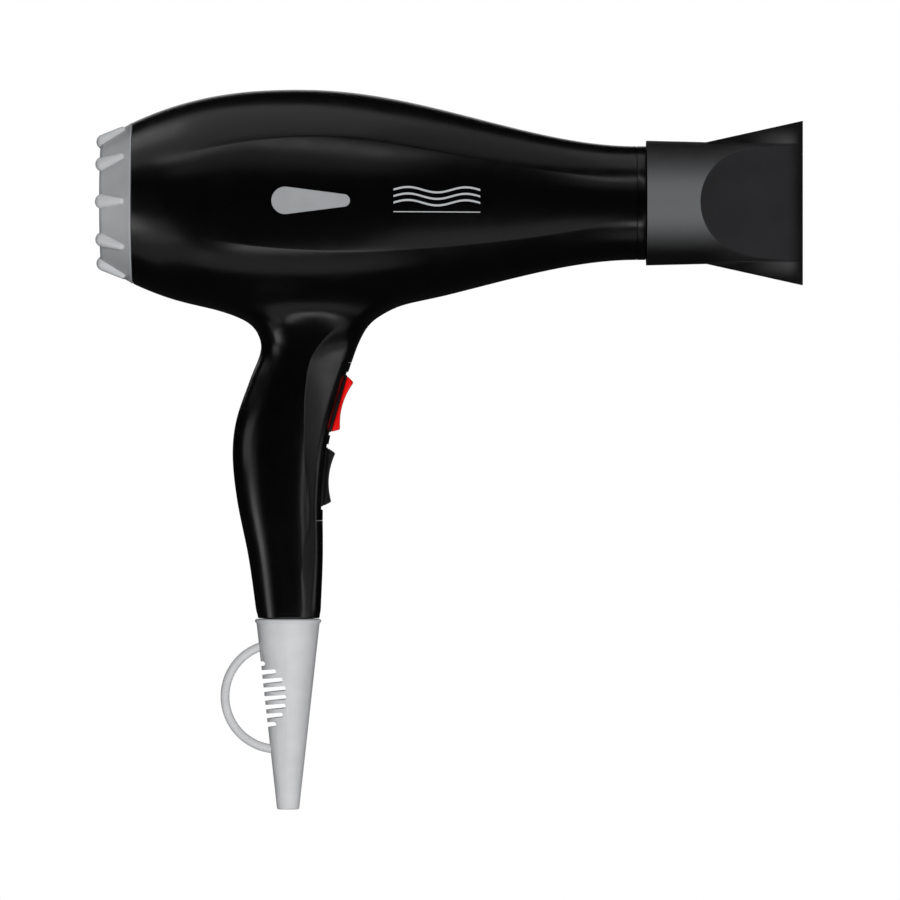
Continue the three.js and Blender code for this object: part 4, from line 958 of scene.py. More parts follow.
    def pull_handle(self, piece: Object) -> None:
        """Pulls the handle out of the barrel's underside, ring by ring.

        Args:
            piece: The barrel's cage.
        """
        Bench.edit(piece)
        low, high = at(self.block_xs[0], 0, 0), at(self.block_xs[-1], 0, 0)
        spine = AXIS.z * MM
        widest = math.tan(math.radians(self.block_angles[-1]))
        Bench.pick(piece, lambda p: low.x < p.x < high.x and abs(p.y) < widest * (spine - p.z))
        mesh = bmesh.from_edit_mesh(piece.data)
        spots: dict[tuple[int, int], Vector] = {}
        for vertex in mesh.verts:
            if vertex.select:
                x, y, z = vertex.co / MM - AXIS
                angle = math.degrees(math.atan2(y, -z))
                key = nearest(self.block_xs, x), nearest(self.block_angles, angle)
                spots[key] = vertex.co.copy()
        acrosses = (-1, -0.5, 0, 0.5, 1)
        for down in self.handle_steps:
            alongs = self.handle_columns(down)
            bpy.ops.mesh.extrude_region_move(TRANSFORM_OT_translate={"value": (0, 0, -MM)})
            mesh = bmesh.from_edit_mesh(piece.data)
            lowered = {key: spot + Vector((0, 0, -MM)) for key, spot in spots.items()}
            for vertex in [vertex for vertex in mesh.verts if vertex.select]:
                key = min(lowered, key=lambda k: (lowered[k] - vertex.co).length)
                vertex.co = at(*self.handle_point(down, acrosses[key[1]], alongs[key[0]]))
                spots[key] = vertex.co.copy()
            bmesh.update_edit_mesh(piece.data)
        bpy.ops.mesh.inset(thickness=0.7 * MM)
        bpy.ops.object.mode_set(mode="OBJECT")

    def ridge_at(self, down: float) -> float:
        """Gives the ridge's place from the back, -1, to the front, 1."""
        return self.along(self.ridge(down), down)

    def handle_columns(self, down: float) -> list[float]:
        """Lists the block's lengthwise lines from back to front, one of them along the ridge."""
        power, wide = self.squareness, self.ridge_width
        ridge = max(self.ridge_at(down), 0.05) ** power
        line = (ridge / (1 - ridge)) ** (1 / power)
        return [*spread(-1.0, line - wide, 6), line, *spread(line + wide, 1.0, 2)]

    def handle_side(self, down: float, along: float) -> float:
        """Gives the handle's half width, as a share, with the facet before the switch strip.

        Args:
            down: Distance below the barrel.
            along: The place from the back, -1, to the front, 1.

        Returns:
            The share of the handle's widest half width.
        """
        oval, ridge = self.oval(along), self.ridge_at(down)
        if not ridge < along < self.facet_end:
            return oval
        t = (along - ridge) / (self.facet_end - ridge)
        flat = mix(self.oval(ridge), self.oval(self.facet_end), t)
        flat -= self.facet_hollow * t * (1 - t)
        return mix(oval, flat, plateau(down, *self.facet_fades))

    def oval(self, along: float) -> float:
        """Gives the squared oval's half width, as a share, at a place along it."""
        power = self.squareness
        return max(1 - abs(along) ** power, 0.0) ** (1 / power)

    def refine(self, piece: Object) -> None:
        """Moves every point of the smoothed form onto the true surface.

        Args:
            piece: The smoothed form.
        """
        for vertex in piece.data.vertices:
            x, y, z = vertex.co / MM - AXIS
            on_barrel = math.hypot(y, z) > 0.85 * self.radius(x) - 3
            if on_barrel and z > self.level(4):
                vertex.co = self.onto_barrel(x, y, z)
            else:
                vertex.co = self.onto_handle(x, y, z)

    def onto_barrel(self, x: float, y: float, z: float) -> Vector:
        """Moves a point onto the barrel, and onto a crease beside it, apart from near the handle.

        Args:
            x: Distance along the barrel.
            y: Distance to the far side.
            z: Height above the barrel's axis.

        Returns:
            The new place in metres.
        """
        angle = math.atan2(z, -y)
        below = abs(math.degrees(math.atan2(y, -z)))
        away = max(
            smoothstep(below, *self.blend_angles),
            smoothstep(abs(x - self.blend_middle), *self.blend_reaches),
        )
        low, top = self.creases(x)
        for crease in (low, top, math.pi - top, -math.pi - low):
            if abs(angle - crease) < math.radians(self.crease_snap):
                angle = mix(angle, crease, away)
        return self.barrel_point(x, mix(math.hypot(y, z), self.reach(x, angle), away), angle)

    def onto_handle(self, x: float, y: float, z: float) -> Vector:
        """Moves a point onto the handle, and onto the ridge beside it, apart from at its ends.

        Args:
            x: Distance along the barrel.
            y: Distance to the far side.
            z: Height above the barrel's axis.

        Returns:
            The new place in metres.
        """
        power, down = self.squareness, -z - self.bulge_radius
        middle, half_depth = self.handle_depth(down)
        half = self.half_width(down / self.handle_length)
        along, across = (x - middle) / half_depth, y / half
        size = (abs(along) ** power + abs(across) ** power) ** (1 / power)
        held = plateau(down, *self.grip_fades)
        if size > 0.8:
            along, across = (mix(value, value / size, held) for value in (along, across))
            if abs(along - self.ridge_at(down)) < self.ridge_snap:
                along = mix(along, self.ridge_at(down), held)
            oval = self.oval(along)
            if oval > 0.05:
                across *= self.handle_side(down, along) / oval
        return at(middle + half_depth * along, half * across, z)

    def strip_region(self, margin: float) -> Object:
        """Makes the block that holds the handle's front edge, grown by a margin."""
        downs = spread(self.strip_from - margin, self.strip_to + margin, 24)
        inner = [
            at(self.front(down / self.handle_length) - self.strip_depth - margin, -FAR / 2,
               self.level(down))
            for down in downs
        ]
        outer = [at(FAR, -FAR / 2, self.level(down)) for down in (downs[-1], downs[0])]
        return Bench.plate("strip_region", [*inner, *outer], Vector((0, FAR, 0)))

    def drop_column(self, margin: float, near: bool) -> Object:
        """Makes a column with the badge's drop outline through one side of the barrel.

        Args:
            margin: How far to grow the outline, in millimetres.
            near: Whether it goes through the near side.

        Returns:
            The column.
        """
        big, small = (radius + margin for radius in self.badge_radii)
        length = self.badge_length
        lean = math.acos((big - small) / length)
        arcs = [(0.0, big, angle) for angle in spread(lean, 2 * math.pi - lean, 48)]
        arcs += [(length, small, angle) for angle in spread(-lean, lean, 20)]
        outline = [
            at(self.badge_x + x + radius * math.cos(angle), 0, radius * math.sin(angle))
            for x, radius, angle in arcs
        ]
        return Bench.plate("drop_column", outline, Vector((0, -FAR if near else FAR, 0)))

    def box_between(self, low: Vector, high: Vector) -> Object:
        """Makes a plain cutting block between two corners in millimetres."""
        outline = [at(low.x, low.y, low.z), at(high.x, low.y, low.z),
                   at(high.x, low.y, high.z), at(low.x, low.y, high.z)]
        return Bench.plate("block", outline, Vector((0, high.y - low.y, 0)))

    def rocker_seat(self, down: float) -> tuple[Vector, float]:
        """Gives a rocker's middle, in metres, and its tilt in degrees."""
        span = self.handle_length
        rise = self.front((down - 1) / span) - self.front((down + 1) / span)
        centre = at(self.front(down / span), 0, self.level(down))
        return centre, math.degrees(math.atan2(rise, 2))

    def window(self, down: float) -> Object:
        """Makes the block that cuts a rocker's window in the switch strip."""
        centre, tilt = self.rocker_seat(down)
        middle = centre / MM - AXIS
        corner = Vector((20, *self.window_half))
        window = self.box_between(middle - corner, middle + corner)
        window.data.transform(Bench.about(centre, Spindle.Y, tilt))
        return window

    def build(self) -> None:
        """Models the casing's pieces from one smooth form."""
        form = self.cage()
        Bench.apply(form, "SUBSURF", levels=2, render_levels=2)
        self.refine(form)
        Bench.outward(form)
        skin = Bench.copy(form, "badge_skin")
        Bench.apply(form, "SOLIDIFY", thickness=self.wall * MM, offset=-1.0)
        strip = Bench.copy(form, "switch_strip")
        Bench.combine(strip, self.strip_region(-0.3), Cut.COMMON)
        for down in self.rocker_places:
            Bench.combine(strip, self.window(down), Cut.AWAY)
        Bench.combine(form, self.strip_region(-0.15), Cut.AWAY)
        for near in (True, False):
            Bench.combine(form, self.drop_column(FINE_GAP, near), Cut.AWAY)
        hole = Bench.ring("boot_hole", (-180, -160), (0, 8), Spindle.Z, steps=48)
        Bench.combine(form, hole, Cut.AWAY)
        far = Vector((400, 120, 300))
        seam = FINE_GAP / 2
        left, right = form, Bench.copy(form, "right_shell")
        left.name = left.data.name = "left_shell"
        Bench.combine(left, self.box_between(-far, Vector((far.x, -seam, far.z))), Cut.COMMON)
        Bench.combine(right, self.box_between(Vector((-far.x, seam, -far.z)), far), Cut.COMMON)
        self.screw_wells(right)
        for piece, paint, node in (
            (left, "gloss_print", "left_housing"), (right, "gloss", "right_housing"),
            (strip, "gloss", "switch_panel"),
        ):
            Bench.smooth(piece, 30)
            self.paints.dress(piece, paint)
            Bench.place(piece, "casing", "gloss_black", node)
        self.badges(skin)

    def screw_wells(self, shell: Object) -> None:
        """Sinks the screws' wells into the far half, each with its own tube.

        Args:
            shell: The far half.
        """
        for down, x in self.screw_places:
            side = self.half_width(down / self.handle_length)
            side *= self.handle_side(down, self.along(x, down))
            for name, ends, radii, cut in (
                ("bore", (side - 4.0, side + 8.0), (0.0, self.well_radii[0]), Cut.AWAY),
                ("well", (self.well_start, side - 1.1), self.well_radii, Cut.TOGETHER),
            ):
                centre = (x, 0.0, self.level(down))
                tube = Bench.ring(name, ends, radii, Spindle.Y, centre, steps=40)
                Bench.combine(shell, tube, cut)

    def badges(self, skin: Object) -> None:
        """Models the two drop-shaped badges to the barrel's own curve.

        Args:
            skin: A copy of the smoothed form's surface.
        """
        Bench.edit(skin)
        low, high = at(-12, 0, -12), at(34, 0, 12)
        Bench.pick(skin, lambda p: not (low.x < p.x < high.x and low.z < p.z < high.z))
        bpy.ops.mesh.delete(type="FACE")
        bpy.ops.object.mode_set(mode="OBJECT")
        Bench.apply(skin, "SOLIDIFY", thickness=self.badge_thickness * MM, offset=-self.badge_sink)
        for name, near in (("left_badge", True), ("right_badge", False)):
            badge = Bench.copy(skin, f"{name}_inlay")
            Bench.combine(badge, self.drop_column(0.0, near), Cut.COMMON)
            Bench.bevel(badge, 0.35, 3, 50)
            Bench.smooth(badge, 30)
            self.paints.dress(badge, "badge")
            Bench.place(badge, "casing", "badge_grey", name)
        bpy.data.meshes.remove(skin.data)


# ---- Switches ----

@dataclass
class Rockers:
    """The two dished rockers in the switch strip, each a face on a keel."""

    paints: Paints
    casing: Casing
    half_length: float = 12.5
    width: float = 11.0
    rise: float = 3.7
    face_half: float = 10.3
    dish: float = 1.9
    split: float = 0.5
    keel_side: tuple[Pair, ...] = ((-3, 12.1), (-10.1, 3))
    pivot_depth: float = 7.5
    pin_radius: float = 1.2
    pin_reach: float = 6.7

    def side_plate(self, name: str, outline: Profile, half: float) -> Object:
        """Makes a plate across the handle from a side outline round the rocker's middle."""
        points = [at(x - AXIS.x, -half, z - AXIS.z) for x, z in outline]
        return Bench.plate(name, points, Vector((0, 2 * half, 0)))

    def dished(self) -> list[Pair]:
        """Lists the face's line from its top end to its low end."""
        curve = []
        for t in spread(0.0, 1.0, 20):
            sag = (1 - t) ** 2 * self.rise + 2 * t * (1 - t) * (self.rise - 2 * self.dish)
            sag += t * t * self.rise
            curve.append((sag, mix(self.face_half, -self.face_half, t)))
        return curve

    def build(self) -> None:
        """Models both rockers and sets them in their windows."""
        split, half = self.split, self.width / 2
        end = mix(self.half_length, self.face_half, split / self.rise)
        upper = [(split - 0.1, end), (0, self.half_length), *self.keel_side]
        keel_outline = [*upper, *((x, -z) for x, z in reversed(upper))]
        for down, names in zip(self.casing.rocker_places, (
            ("speed_rocker", "speed_switch", "red", "signal_red"),
            ("heat_rocker", "heat_switch", "switch", "satin_black"),
        )):
            node, body, paint, slot = names
            centre, tilt = self.casing.rocker_seat(down)
            turn = Matrix.Translation(centre) @ Matrix.Rotation(math.radians(tilt), 4, "Y")
            outline = [(split, end), *self.dished(), (split, -end)]
            face = self.side_plate(f"{node}_face", outline, half)
            Bench.bevel(face, 0.7, 4, 28)
            keel = self.side_plate(f"{node}_keel", keel_outline, half)
            Bench.bevel(keel, 0.3, 2, 28)
            pin = Bench.ring(
                "pin", (-self.pin_reach, self.pin_reach), (0, self.pin_radius), Spindle.Y,
                (-self.pivot_depth - AXIS.x, 0, -AXIS.z), 32,
            )
            Bench.combine(keel, pin, Cut.TOGETHER)
            for piece, finish, part in ((face, paint, slot), (keel, "keel", slot)):
                piece.data.transform(turn)
                Bench.smooth(piece, 30)
                self.paints.dress(piece, finish)
                Bench.place(piece, body, part, node)


# ---- Rear cap ----

@dataclass
class RearCap:
    """The pull-off cap with its ribs, grille and filter."""

    paints: Paints
    rear_x: float = -78.5
    front_x: float = -65.2
    opening: float = 22.6
    seat_x: float = -75.8
    seat_radius: float = 26.0
    ribs: int = 10
    first_rib: float = 18.0
    rib_tip: Pair = (-77.0, 26.8)
    rib_root: Pair = (-69.3, 31.9)
    rib_radii: Pair = (3.2, 1.5)
    grille_ends: Pair = (-75.5, -73.5)
    grille_rings: tuple[float, ...] = (20.6, 17.3, 14.0, 10.7, 7.4)
    spokes: int = 12
    rim_radii: Pair = (23.9, 25.7)
    net_x: float = -72.9
    net_radius: float = 24.6
    net_wire: float = 0.34

    def shell(self) -> Object:
        """Turns the cap's cone with its lip and filter seat."""
        rear, front = self.rear_x, self.front_x
        profile = [
            (rear, 23.2), (rear, 25.2), (-78.32, 26.0), (-77.9, 26.6), (-77.3, 27.05),
            (-76.4, 27.55), (-66.2, 33.3), (-65.7, 33.75), (front, 33.8), (front, 30.9),
            (-58.9, 30.9), (-58.9, 29.1), (-69.5, 29.1), (-70.5, self.seat_radius),
            (self.seat_x, self.seat_radius), (self.seat_x, self.opening), (-78.1, self.opening),
        ]
        cap = Bench.turned("cap_shell", profile, steps=120)
        Bench.bevel(cap, 0.25, 2, 40)
        return cap

    def rib(self) -> Object:
        """Turns one finger: a round end at the rear that tapers into the cone."""
        tip, root = Vector(self.rib_tip), Vector(self.rib_root)
        quarter = math.pi / 2
        profile = []
        for start, radius, angles in (
            (0.0, self.rib_radii[0], spread(-quarter, 0, 9)),
            ((root - tip).length, self.rib_radii[1], spread(0, quarter, 6)),
        ):
            profile += [
                (start + radius * math.sin(a), max(radius * math.cos(a), 0.0)) for a in angles
            ]
        lean = math.atan2(root.y - tip.y, root.x - tip.x)
        finger = Bench.turned("finger", profile, centre=(tip.x, 0, tip.y), steps=28)
        finger.data.transform(Bench.about(at(tip.x, 0, tip.y), Spindle.Y, -math.degrees(lean)))
        bore = [
            (-90, 0), (-90, self.opening), (self.seat_x, self.opening),
            (self.seat_x, self.seat_radius), (-60, self.seat_radius), (-60, 0),
        ]
        Bench.combine(finger, Bench.turned("bore", bore, steps=96), Cut.AWAY)
        return finger

    def grille(self) -> Object:
        """Turns the grille's rings and joins them with spokes and a hub."""
        rear, front = self.grille_ends
        disc = Bench.ring("grille", self.grille_ends, self.rim_radii)
        for radius in self.grille_rings:
            ring = Bench.ring("ring", self.grille_ends, (radius - 0.5, radius + 0.5))
            Bench.combine(disc, ring, Cut.TOGETHER)
        hub = [(rear - 0.6, 0), (rear - 0.6, 2.4), (rear, 4.1), (front, 4.1), (front, 0)]
        Bench.combine(disc, Bench.turned("hub", hub, steps=64), Cut.TOGETHER)
        for i in range(self.spokes):
            angle = math.radians(360 / self.spokes * (i + 0.5))
            way = Vector((0, math.sin(angle), math.cos(angle)))
            wide = Vector((0, way.z, -way.y)) * 0.45
            inner, outer = way * 3.6, way * 24.4
            corners = [
                at(rear + 0.2, p.y, p.z)
                for p in (inner - wide, outer - wide, outer + wide, inner + wide)
            ]
            Bench.combine(disc, Bench.plate("spoke", corners, Vector((1.6, 0, 0))), Cut.TOGETHER)
        Bench.smooth(disc, 30)
        return disc

    def gauze(self) -> Object:
        """Weaves the filter's net and sets it in a rim."""
        Bench.clear()
        bpy.ops.mesh.primitive_grid_add(
            x_subdivisions=42, y_subdivisions=42, size=52 * MM,
            location=at(self.net_x, 0, 0), rotation=(0, math.pi / 2, 0),
        )
        net = bpy.context.object
        net.name = net.data.name = "filter_net"
        Bench.settle(net)
        Bench.edit(net)
        Bench.pick(net, lambda p: math.hypot(p.y / MM, p.z / MM - AXIS.z) > self.net_radius)
        bpy.ops.mesh.delete(type="FACE")
        bpy.ops.object.mode_set(mode="OBJECT")
        Bench.apply(net, "WIREFRAME", thickness=self.net_wire * MM, use_even_offset=False)
        rim = Bench.ring("rim", (-73.2, -72.6), self.rim_radii)
        Bench.only(net)
        rim.select_set(True)
        bpy.ops.object.join()
        Bench.smooth(net, 40)
        return net

    def build(self) -> None:
        """Models the cap, whose shell is painted a darker grey than its ribs as painted shade, and
        everything that comes off with it.
        """
        cap, finger = self.shell(), self.rib()
        # The shell's darker grey is painted shade; the ribs keep the plain soft grey.
        self.paints.dress(cap, "cap")
        self.paints.dress(finger, "grey")
        for i in range(self.ribs):
            turn = Bench.about(at(0, 0, 0), Spindle.X, self.first_rib + 360 / self.ribs * i)
            Bench.combine(cap, Bench.copy(finger, "finger_copy", turn), Cut.TOGETHER)
        bpy.data.meshes.remove(finger.data)
        Bench.smooth(cap, 38)
        Bench.place(cap, "rear_filter_cap", "soft_grey", "rear_cap")
        retainer = Bench.ring("filter_ring", (-72.3, -70.5), (23.5, self.rim_radii[1]))
        Bench.bevel(retainer, 0.3, 2)
        Bench.smooth(retainer)
        for piece, paint, slot, node in (
            (self.grille(), "satin", "dark_plastic", "inlet_grille"),
            (self.gauze(), "gauze", "steel", "filter_mesh"),
            (retainer, "dark", "dark_plastic", "filter_retainer"),
        ):
            self.paints.dress(piece, paint)
            Bench.place(piece, "rear_filter_cap", slot, node)


# ---- Outlet and nozzle ----

@dataclass
class Outlet:
    """The neck ring, the swivel ring and the air nozzle that clips on."""

    paints: Paints
    start: float = 150.4
    end: float = 216.0
    collar: float = 26.2
    taper: float = 0.024
    fan_start: float = 175.5
    scoop_start: float = 171.8
    slot_half_width: float = 6.0
    slot_half_height: float = 34.4
    wall: float = 1.4
    hollow_start: float = 166.2
    bore: tuple[Pair, ...] = (
        (149, 0), (149, 22.9), (151.6, 22.9), (151.6, 24.2), (165.2, 24.2), (165.2, 22.9),
        (167.2, 22.9), (167.2, 0),
    )
    neck_profile: tuple[Pair, ...] = (
        (140.8, 19.9), (140.8, 20.8), (146.4, 20.8), (146.4, 23.9), (150.1, 23.9), (150.1, 22.6),
        (165.4, 22.6), (166.1, 21.9), (166.1, 19.9),
    )
    grille_ends: Pair = (162.9, 164.9)
    grille_rings: tuple[float, ...] = (14.6, 10.0, 5.4)

    def cone(self, x: float) -> float:
        """Gives the collar's radius at x."""
        return self.collar - self.taper * (x - self.start)

    def form(self, inset: float, first: float, last: float) -> Object:
        """Makes the nozzle's solid shape, set in by an amount, between two places.

        Args:
            inset: How far inside the outer surface.
            first: Where it starts along the barrel.
            last: Where it ends.

        Returns:
            The solid.
        """
        radii = (self.cone(first) - inset, self.cone(last) - inset)
        profile = [(first, 0), (first, radii[0]), (last, radii[1]), (last, 0)]
        body = Bench.turned("nozzle_form", profile, steps=144)
        half = self.slot_half_width - inset
        sides = []
        for x in spread(self.scoop_start, last, 40):
            share = min(max((self.end - x) / (self.end - self.scoop_start), 0.0), 1.0)
            sides.append((x, half + (self.collar - self.slot_half_width) * share ** 2))
        outline = [(first - 1, self.collar), *sides]
        outline += [(x, -y) for x, y in reversed(outline)]
        scoop = Bench.plate("scoop", [at(x, y, -60) for x, y in outline], Vector((0, 0, 120)))
        Bench.combine(body, scoop, Cut.COMMON)
        root = self.cone(self.fan_start) - inset - 0.2
        slope = (self.slot_half_height - inset - root) / (self.end - self.fan_start)
        top = root + slope * (last - self.fan_start)
        corners = [(self.fan_start, -root), (last, -top), (last, top), (self.fan_start, root)]
        fan = Bench.plate("fan", [at(x, -half, z) for x, z in corners], Vector((0, 2 * half, 0)))
        Bench.combine(body, fan, Cut.TOGETHER)
        return body

    def nozzle(self) -> Object:
        """Models the nozzle, hollowed for the swivel ring and the air."""
        nozzle = self.form(0.0, self.start, self.end)
        Bench.bevel(nozzle, 0.45, 3, 30)
        Bench.combine(nozzle, self.form(self.wall, self.hollow_start, self.end + 1), Cut.AWAY)
        Bench.combine(nozzle, Bench.turned("bore", self.bore), Cut.AWAY)
        nozzle.name = nozzle.data.name = "air_nozzle_shell"
        Bench.smooth(nozzle, 32)
        return nozzle

    def neck(self) -> Object:
        """Turns the ring that the nozzle pushes onto."""
        ring = Bench.turned("neck_ring", self.neck_profile, steps=120)
        Bench.bevel(ring, 0.22, 2)
        Bench.smooth(ring)
        return ring

    def grille(self) -> Object:
        """Turns the outlet grille's rings and joins them with spokes."""
        disc = Bench.ring("outlet_guard", self.grille_ends, (18.9, 19.8))
        for radius in self.grille_rings:
            ring = Bench.ring("ring", self.grille_ends, (radius - 0.45, radius + 0.45))
            Bench.combine(disc, ring, Cut.TOGETHER)
        for turn in (0, 90):
            Bench.combine(disc, self.spoke(turn), Cut.TOGETHER)
        Bench.smooth(disc)
        return disc

    def spoke(self, turn: float) -> Object:
        """Makes a bar across the outlet, turned by degrees."""
        corners = [(-0.5, -19.4), (0.5, -19.4), (0.5, 19.4), (-0.5, 19.4)]
        rear = self.grille_ends[0] + 0.2
        bar = Bench.plate("bar", [at(rear, y, z) for y, z in corners], Vector((1.6, 0, 0)))
        bar.data.transform(Bench.about(at(0, 0, 0), Spindle.X, turn))
        return bar

    def build(self) -> None:
        """Models the outlet's pieces."""
        swivel = Bench.ring("swivel_ring", (151.9, 164.9), (22.95, 23.9), steps=120)
        Bench.bevel(swivel, 0.2, 2)
        Bench.smooth(swivel)
        for piece, paint, slot, body, node in (
            (self.neck(), "gloss", "gloss_black", "casing", "outlet_ring"),
            (self.grille(), "steel", "steel", "casing", "outlet_grille"),
            (swivel, "dark", "dark_plastic", "nozzle_clip", "nozzle_swivel_ring"),
            (self.nozzle(), "nozzle", "satin_black", "air_nozzle", "nozzle"),
        ):
            self.paints.dress(piece, paint)
            Bench.place(piece, body, slot, node)


# ---- Cord boot ----

@dataclass
class Boot:
    """The tapered boot with its bending slots and its hanging loop."""

    paints: Paints
    top: float = -174.6
    end: float = -254.6
    slots: int = 9
    pitch: float = 3.68
    middle: float = -207.2
    tilt: float = 5.0
    slot_end: float = -0.6
    slot_shortening: float = 10.6
    slot_power: float = 2.6
    loop_x: float = -4.4
    loop_radius: float = 22.1
    loop_from: float = 106.0
    loop_sweep: float = 160.0
    wire_radius: float = 1.85

    def body(self) -> Object:
        """Turns the boot with its bead, neck and flange."""
        profile = [
            (-167.0, 3.4), (-167.0, 10.0), (-170.0, 10.0), (-170.0, 7.7), (self.top, 7.7),
            (self.top, 13.2), (-174.9, 13.75), (-175.4, 14.0), (-175.9, 13.85), (-176.4, 13.4),
            (-176.9, 13.2), (self.end + 0.8, 4.72), (self.end + 0.2, 4.5), (self.end, 4.0),
            (self.end, 3.4),
        ]
        return Bench.turned("boot_body", profile, Spindle.Z)

    def slot_cutter(self, index: float) -> Object:
        """Makes the round-ended plate that cuts one slot from the back.

        Args:
            index: The slot's place above or below the middle.

        Returns:
            The cutter.
        """
        share = abs(index) / ((self.slots - 1) / 2 + 0.25)
        centre = self.slot_end - self.slot_shortening * share ** self.slot_power - 1.0
        arc = [(centre + math.cos(a), math.sin(a)) for a in spread(-math.pi / 2, math.pi / 2, 12)]
        outline = [(centre - 15, -1.0), *arc, (centre - 15, 1.0)]
        z = self.middle - index * self.pitch
        cutter = Bench.plate("slot", [at(x, -30, z + up) for x, up in outline], Vector((0, 60, 0)))
        cutter.data.transform(Bench.about(at(0, 0, z), Spindle.Y, -self.tilt))
        return cutter

    def loop(self) -> Object:
        """Spins the hanging loop's round section along its arc."""
        first = math.radians(self.loop_from)
        way = Vector((math.cos(first), 0, math.sin(first)))
        middle = Vector((self.loop_x, 0, self.middle))
        points = []
        for angle in spread(0, 2 * math.pi, 24)[:-1]:
            out = self.loop_radius + self.wire_radius * math.cos(angle)
            aside = Vector((0, self.wire_radius * math.sin(angle), 0))
            points.append(at(*(middle + way * out + aside)))
        loop = Bench.wire("hanging_loop", points)
        bpy.ops.mesh.edge_face_add()
        bpy.ops.mesh.spin(
            steps=64, angle=math.radians(self.loop_sweep), center=at(*middle), axis=(0, 1, 0),
        )
        bpy.ops.mesh.select_all(action="DESELECT")
        bpy.ops.mesh.select_non_manifold()
        bpy.ops.mesh.edge_face_add()
        bpy.ops.object.mode_set(mode="OBJECT")
        Bench.outward(loop)
        Bench.settle(loop)
        return loop

    def build(self) -> None:
        """Models the boot as one moulding."""
        boot = self.body()
        half = (self.slots - 1) / 2
        for i in range(self.slots):
            Bench.combine(boot, self.slot_cutter(i - half), Cut.AWAY)
        Bench.bevel(boot, 0.18, 2, 45)
        Bench.combine(boot, self.loop(), Cut.TOGETHER)
        Bench.smooth(boot, 35)
        self.paints.dress(boot, "rubber")
        Bench.place(boot, "casing", "soft_grey", "cord_boot")


# ---- Pieces that keep the frame's own shape ----

@dataclass
class Insides:
    """The pieces inside the dryer, which show through its openings, in their own materials."""

    paints: Paints

    FINISHES: ClassVar[dict[str, tuple[str, ...]]] = {
        "dark": (
            "speed_switch_body", "heat_switch_body", "fan_housing", "commutator", "cord_clamp",
        ),
        "grey": ("impeller",),
        "steel": (
            "motor_can", "motor_end_bell", "motor_shaft", "clamp_screw_front", "clamp_screw_back",
            "thermostat", "thermal_fuse", "heater_sleeve", "housing_screw_top",
            "housing_screw_middle", "housing_screw_bottom",
        ),
        "bronze": ("rear_bearing", "front_bearing", "upper_brush", "lower_brush"),
        "copper": ("armature",),
        "ferrite": ("right_magnet", "left_magnet"),
        "mica": ("upright_mica_board", "level_mica_board"),
        "heat_wire": ("low_heat_coil", "high_heat_coil"),
        "lead_red": ("motor_lead",),
        "lead_black": ("heater_lead",),
    }

    def build(self) -> None:
        """Gives each inner piece its material."""
        for paint, names in self.FINISHES.items():
            for name in names:
                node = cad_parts[name]
                for slot in node.material_slots:
                    slot.material = self.paints.made[paint]
                LOG.info("%s: dressed in %s", name, paint)


# ---- Studio ----

class LightPart(Enum):
    """What a soft light does: makes the sheen on gloss surfaces, or lights the matt ones."""

    SHEEN = "sheen"
    BODY = "body"


@dataclass(frozen=True)
class Softbox:
    """A soft light that faces the dryer.

    The place is its middle and the size its width and height, both in metres. A radiance of 1 is
    white.
    """

    place: Place
    size: Pair
    radiance: float
    part: LightPart = LightPart.SHEEN

    def hang(self, aim: Vector) -> None:
        """Hangs the light.

        Args:
            aim: The point, in metres, that it faces.
        """
        Bench.clear()
        bpy.ops.object.light_add(type="AREA", location=self.place)
        light = bpy.context.object
        light.data.shape = "RECTANGLE"
        light.data.size, light.data.size_y = self.size
        light.data.energy = self.radiance * math.pi * self.size[0] * self.size[1]
        light.visible_camera = False
        light.visible_glossy = self.part is LightPart.SHEEN
        light.visible_diffuse = self.part is LightPart.BODY
        away = (Vector(self.place) - aim).normalized()
        upward = Vector((0, 1, 0)) if abs(away.z) > 0.8 else Vector((0, 0, 1))
        across = upward.cross(away).normalized()
        turn = Matrix((across, away.cross(across), away)).transposed()
        light.rotation_euler = turn.to_euler()


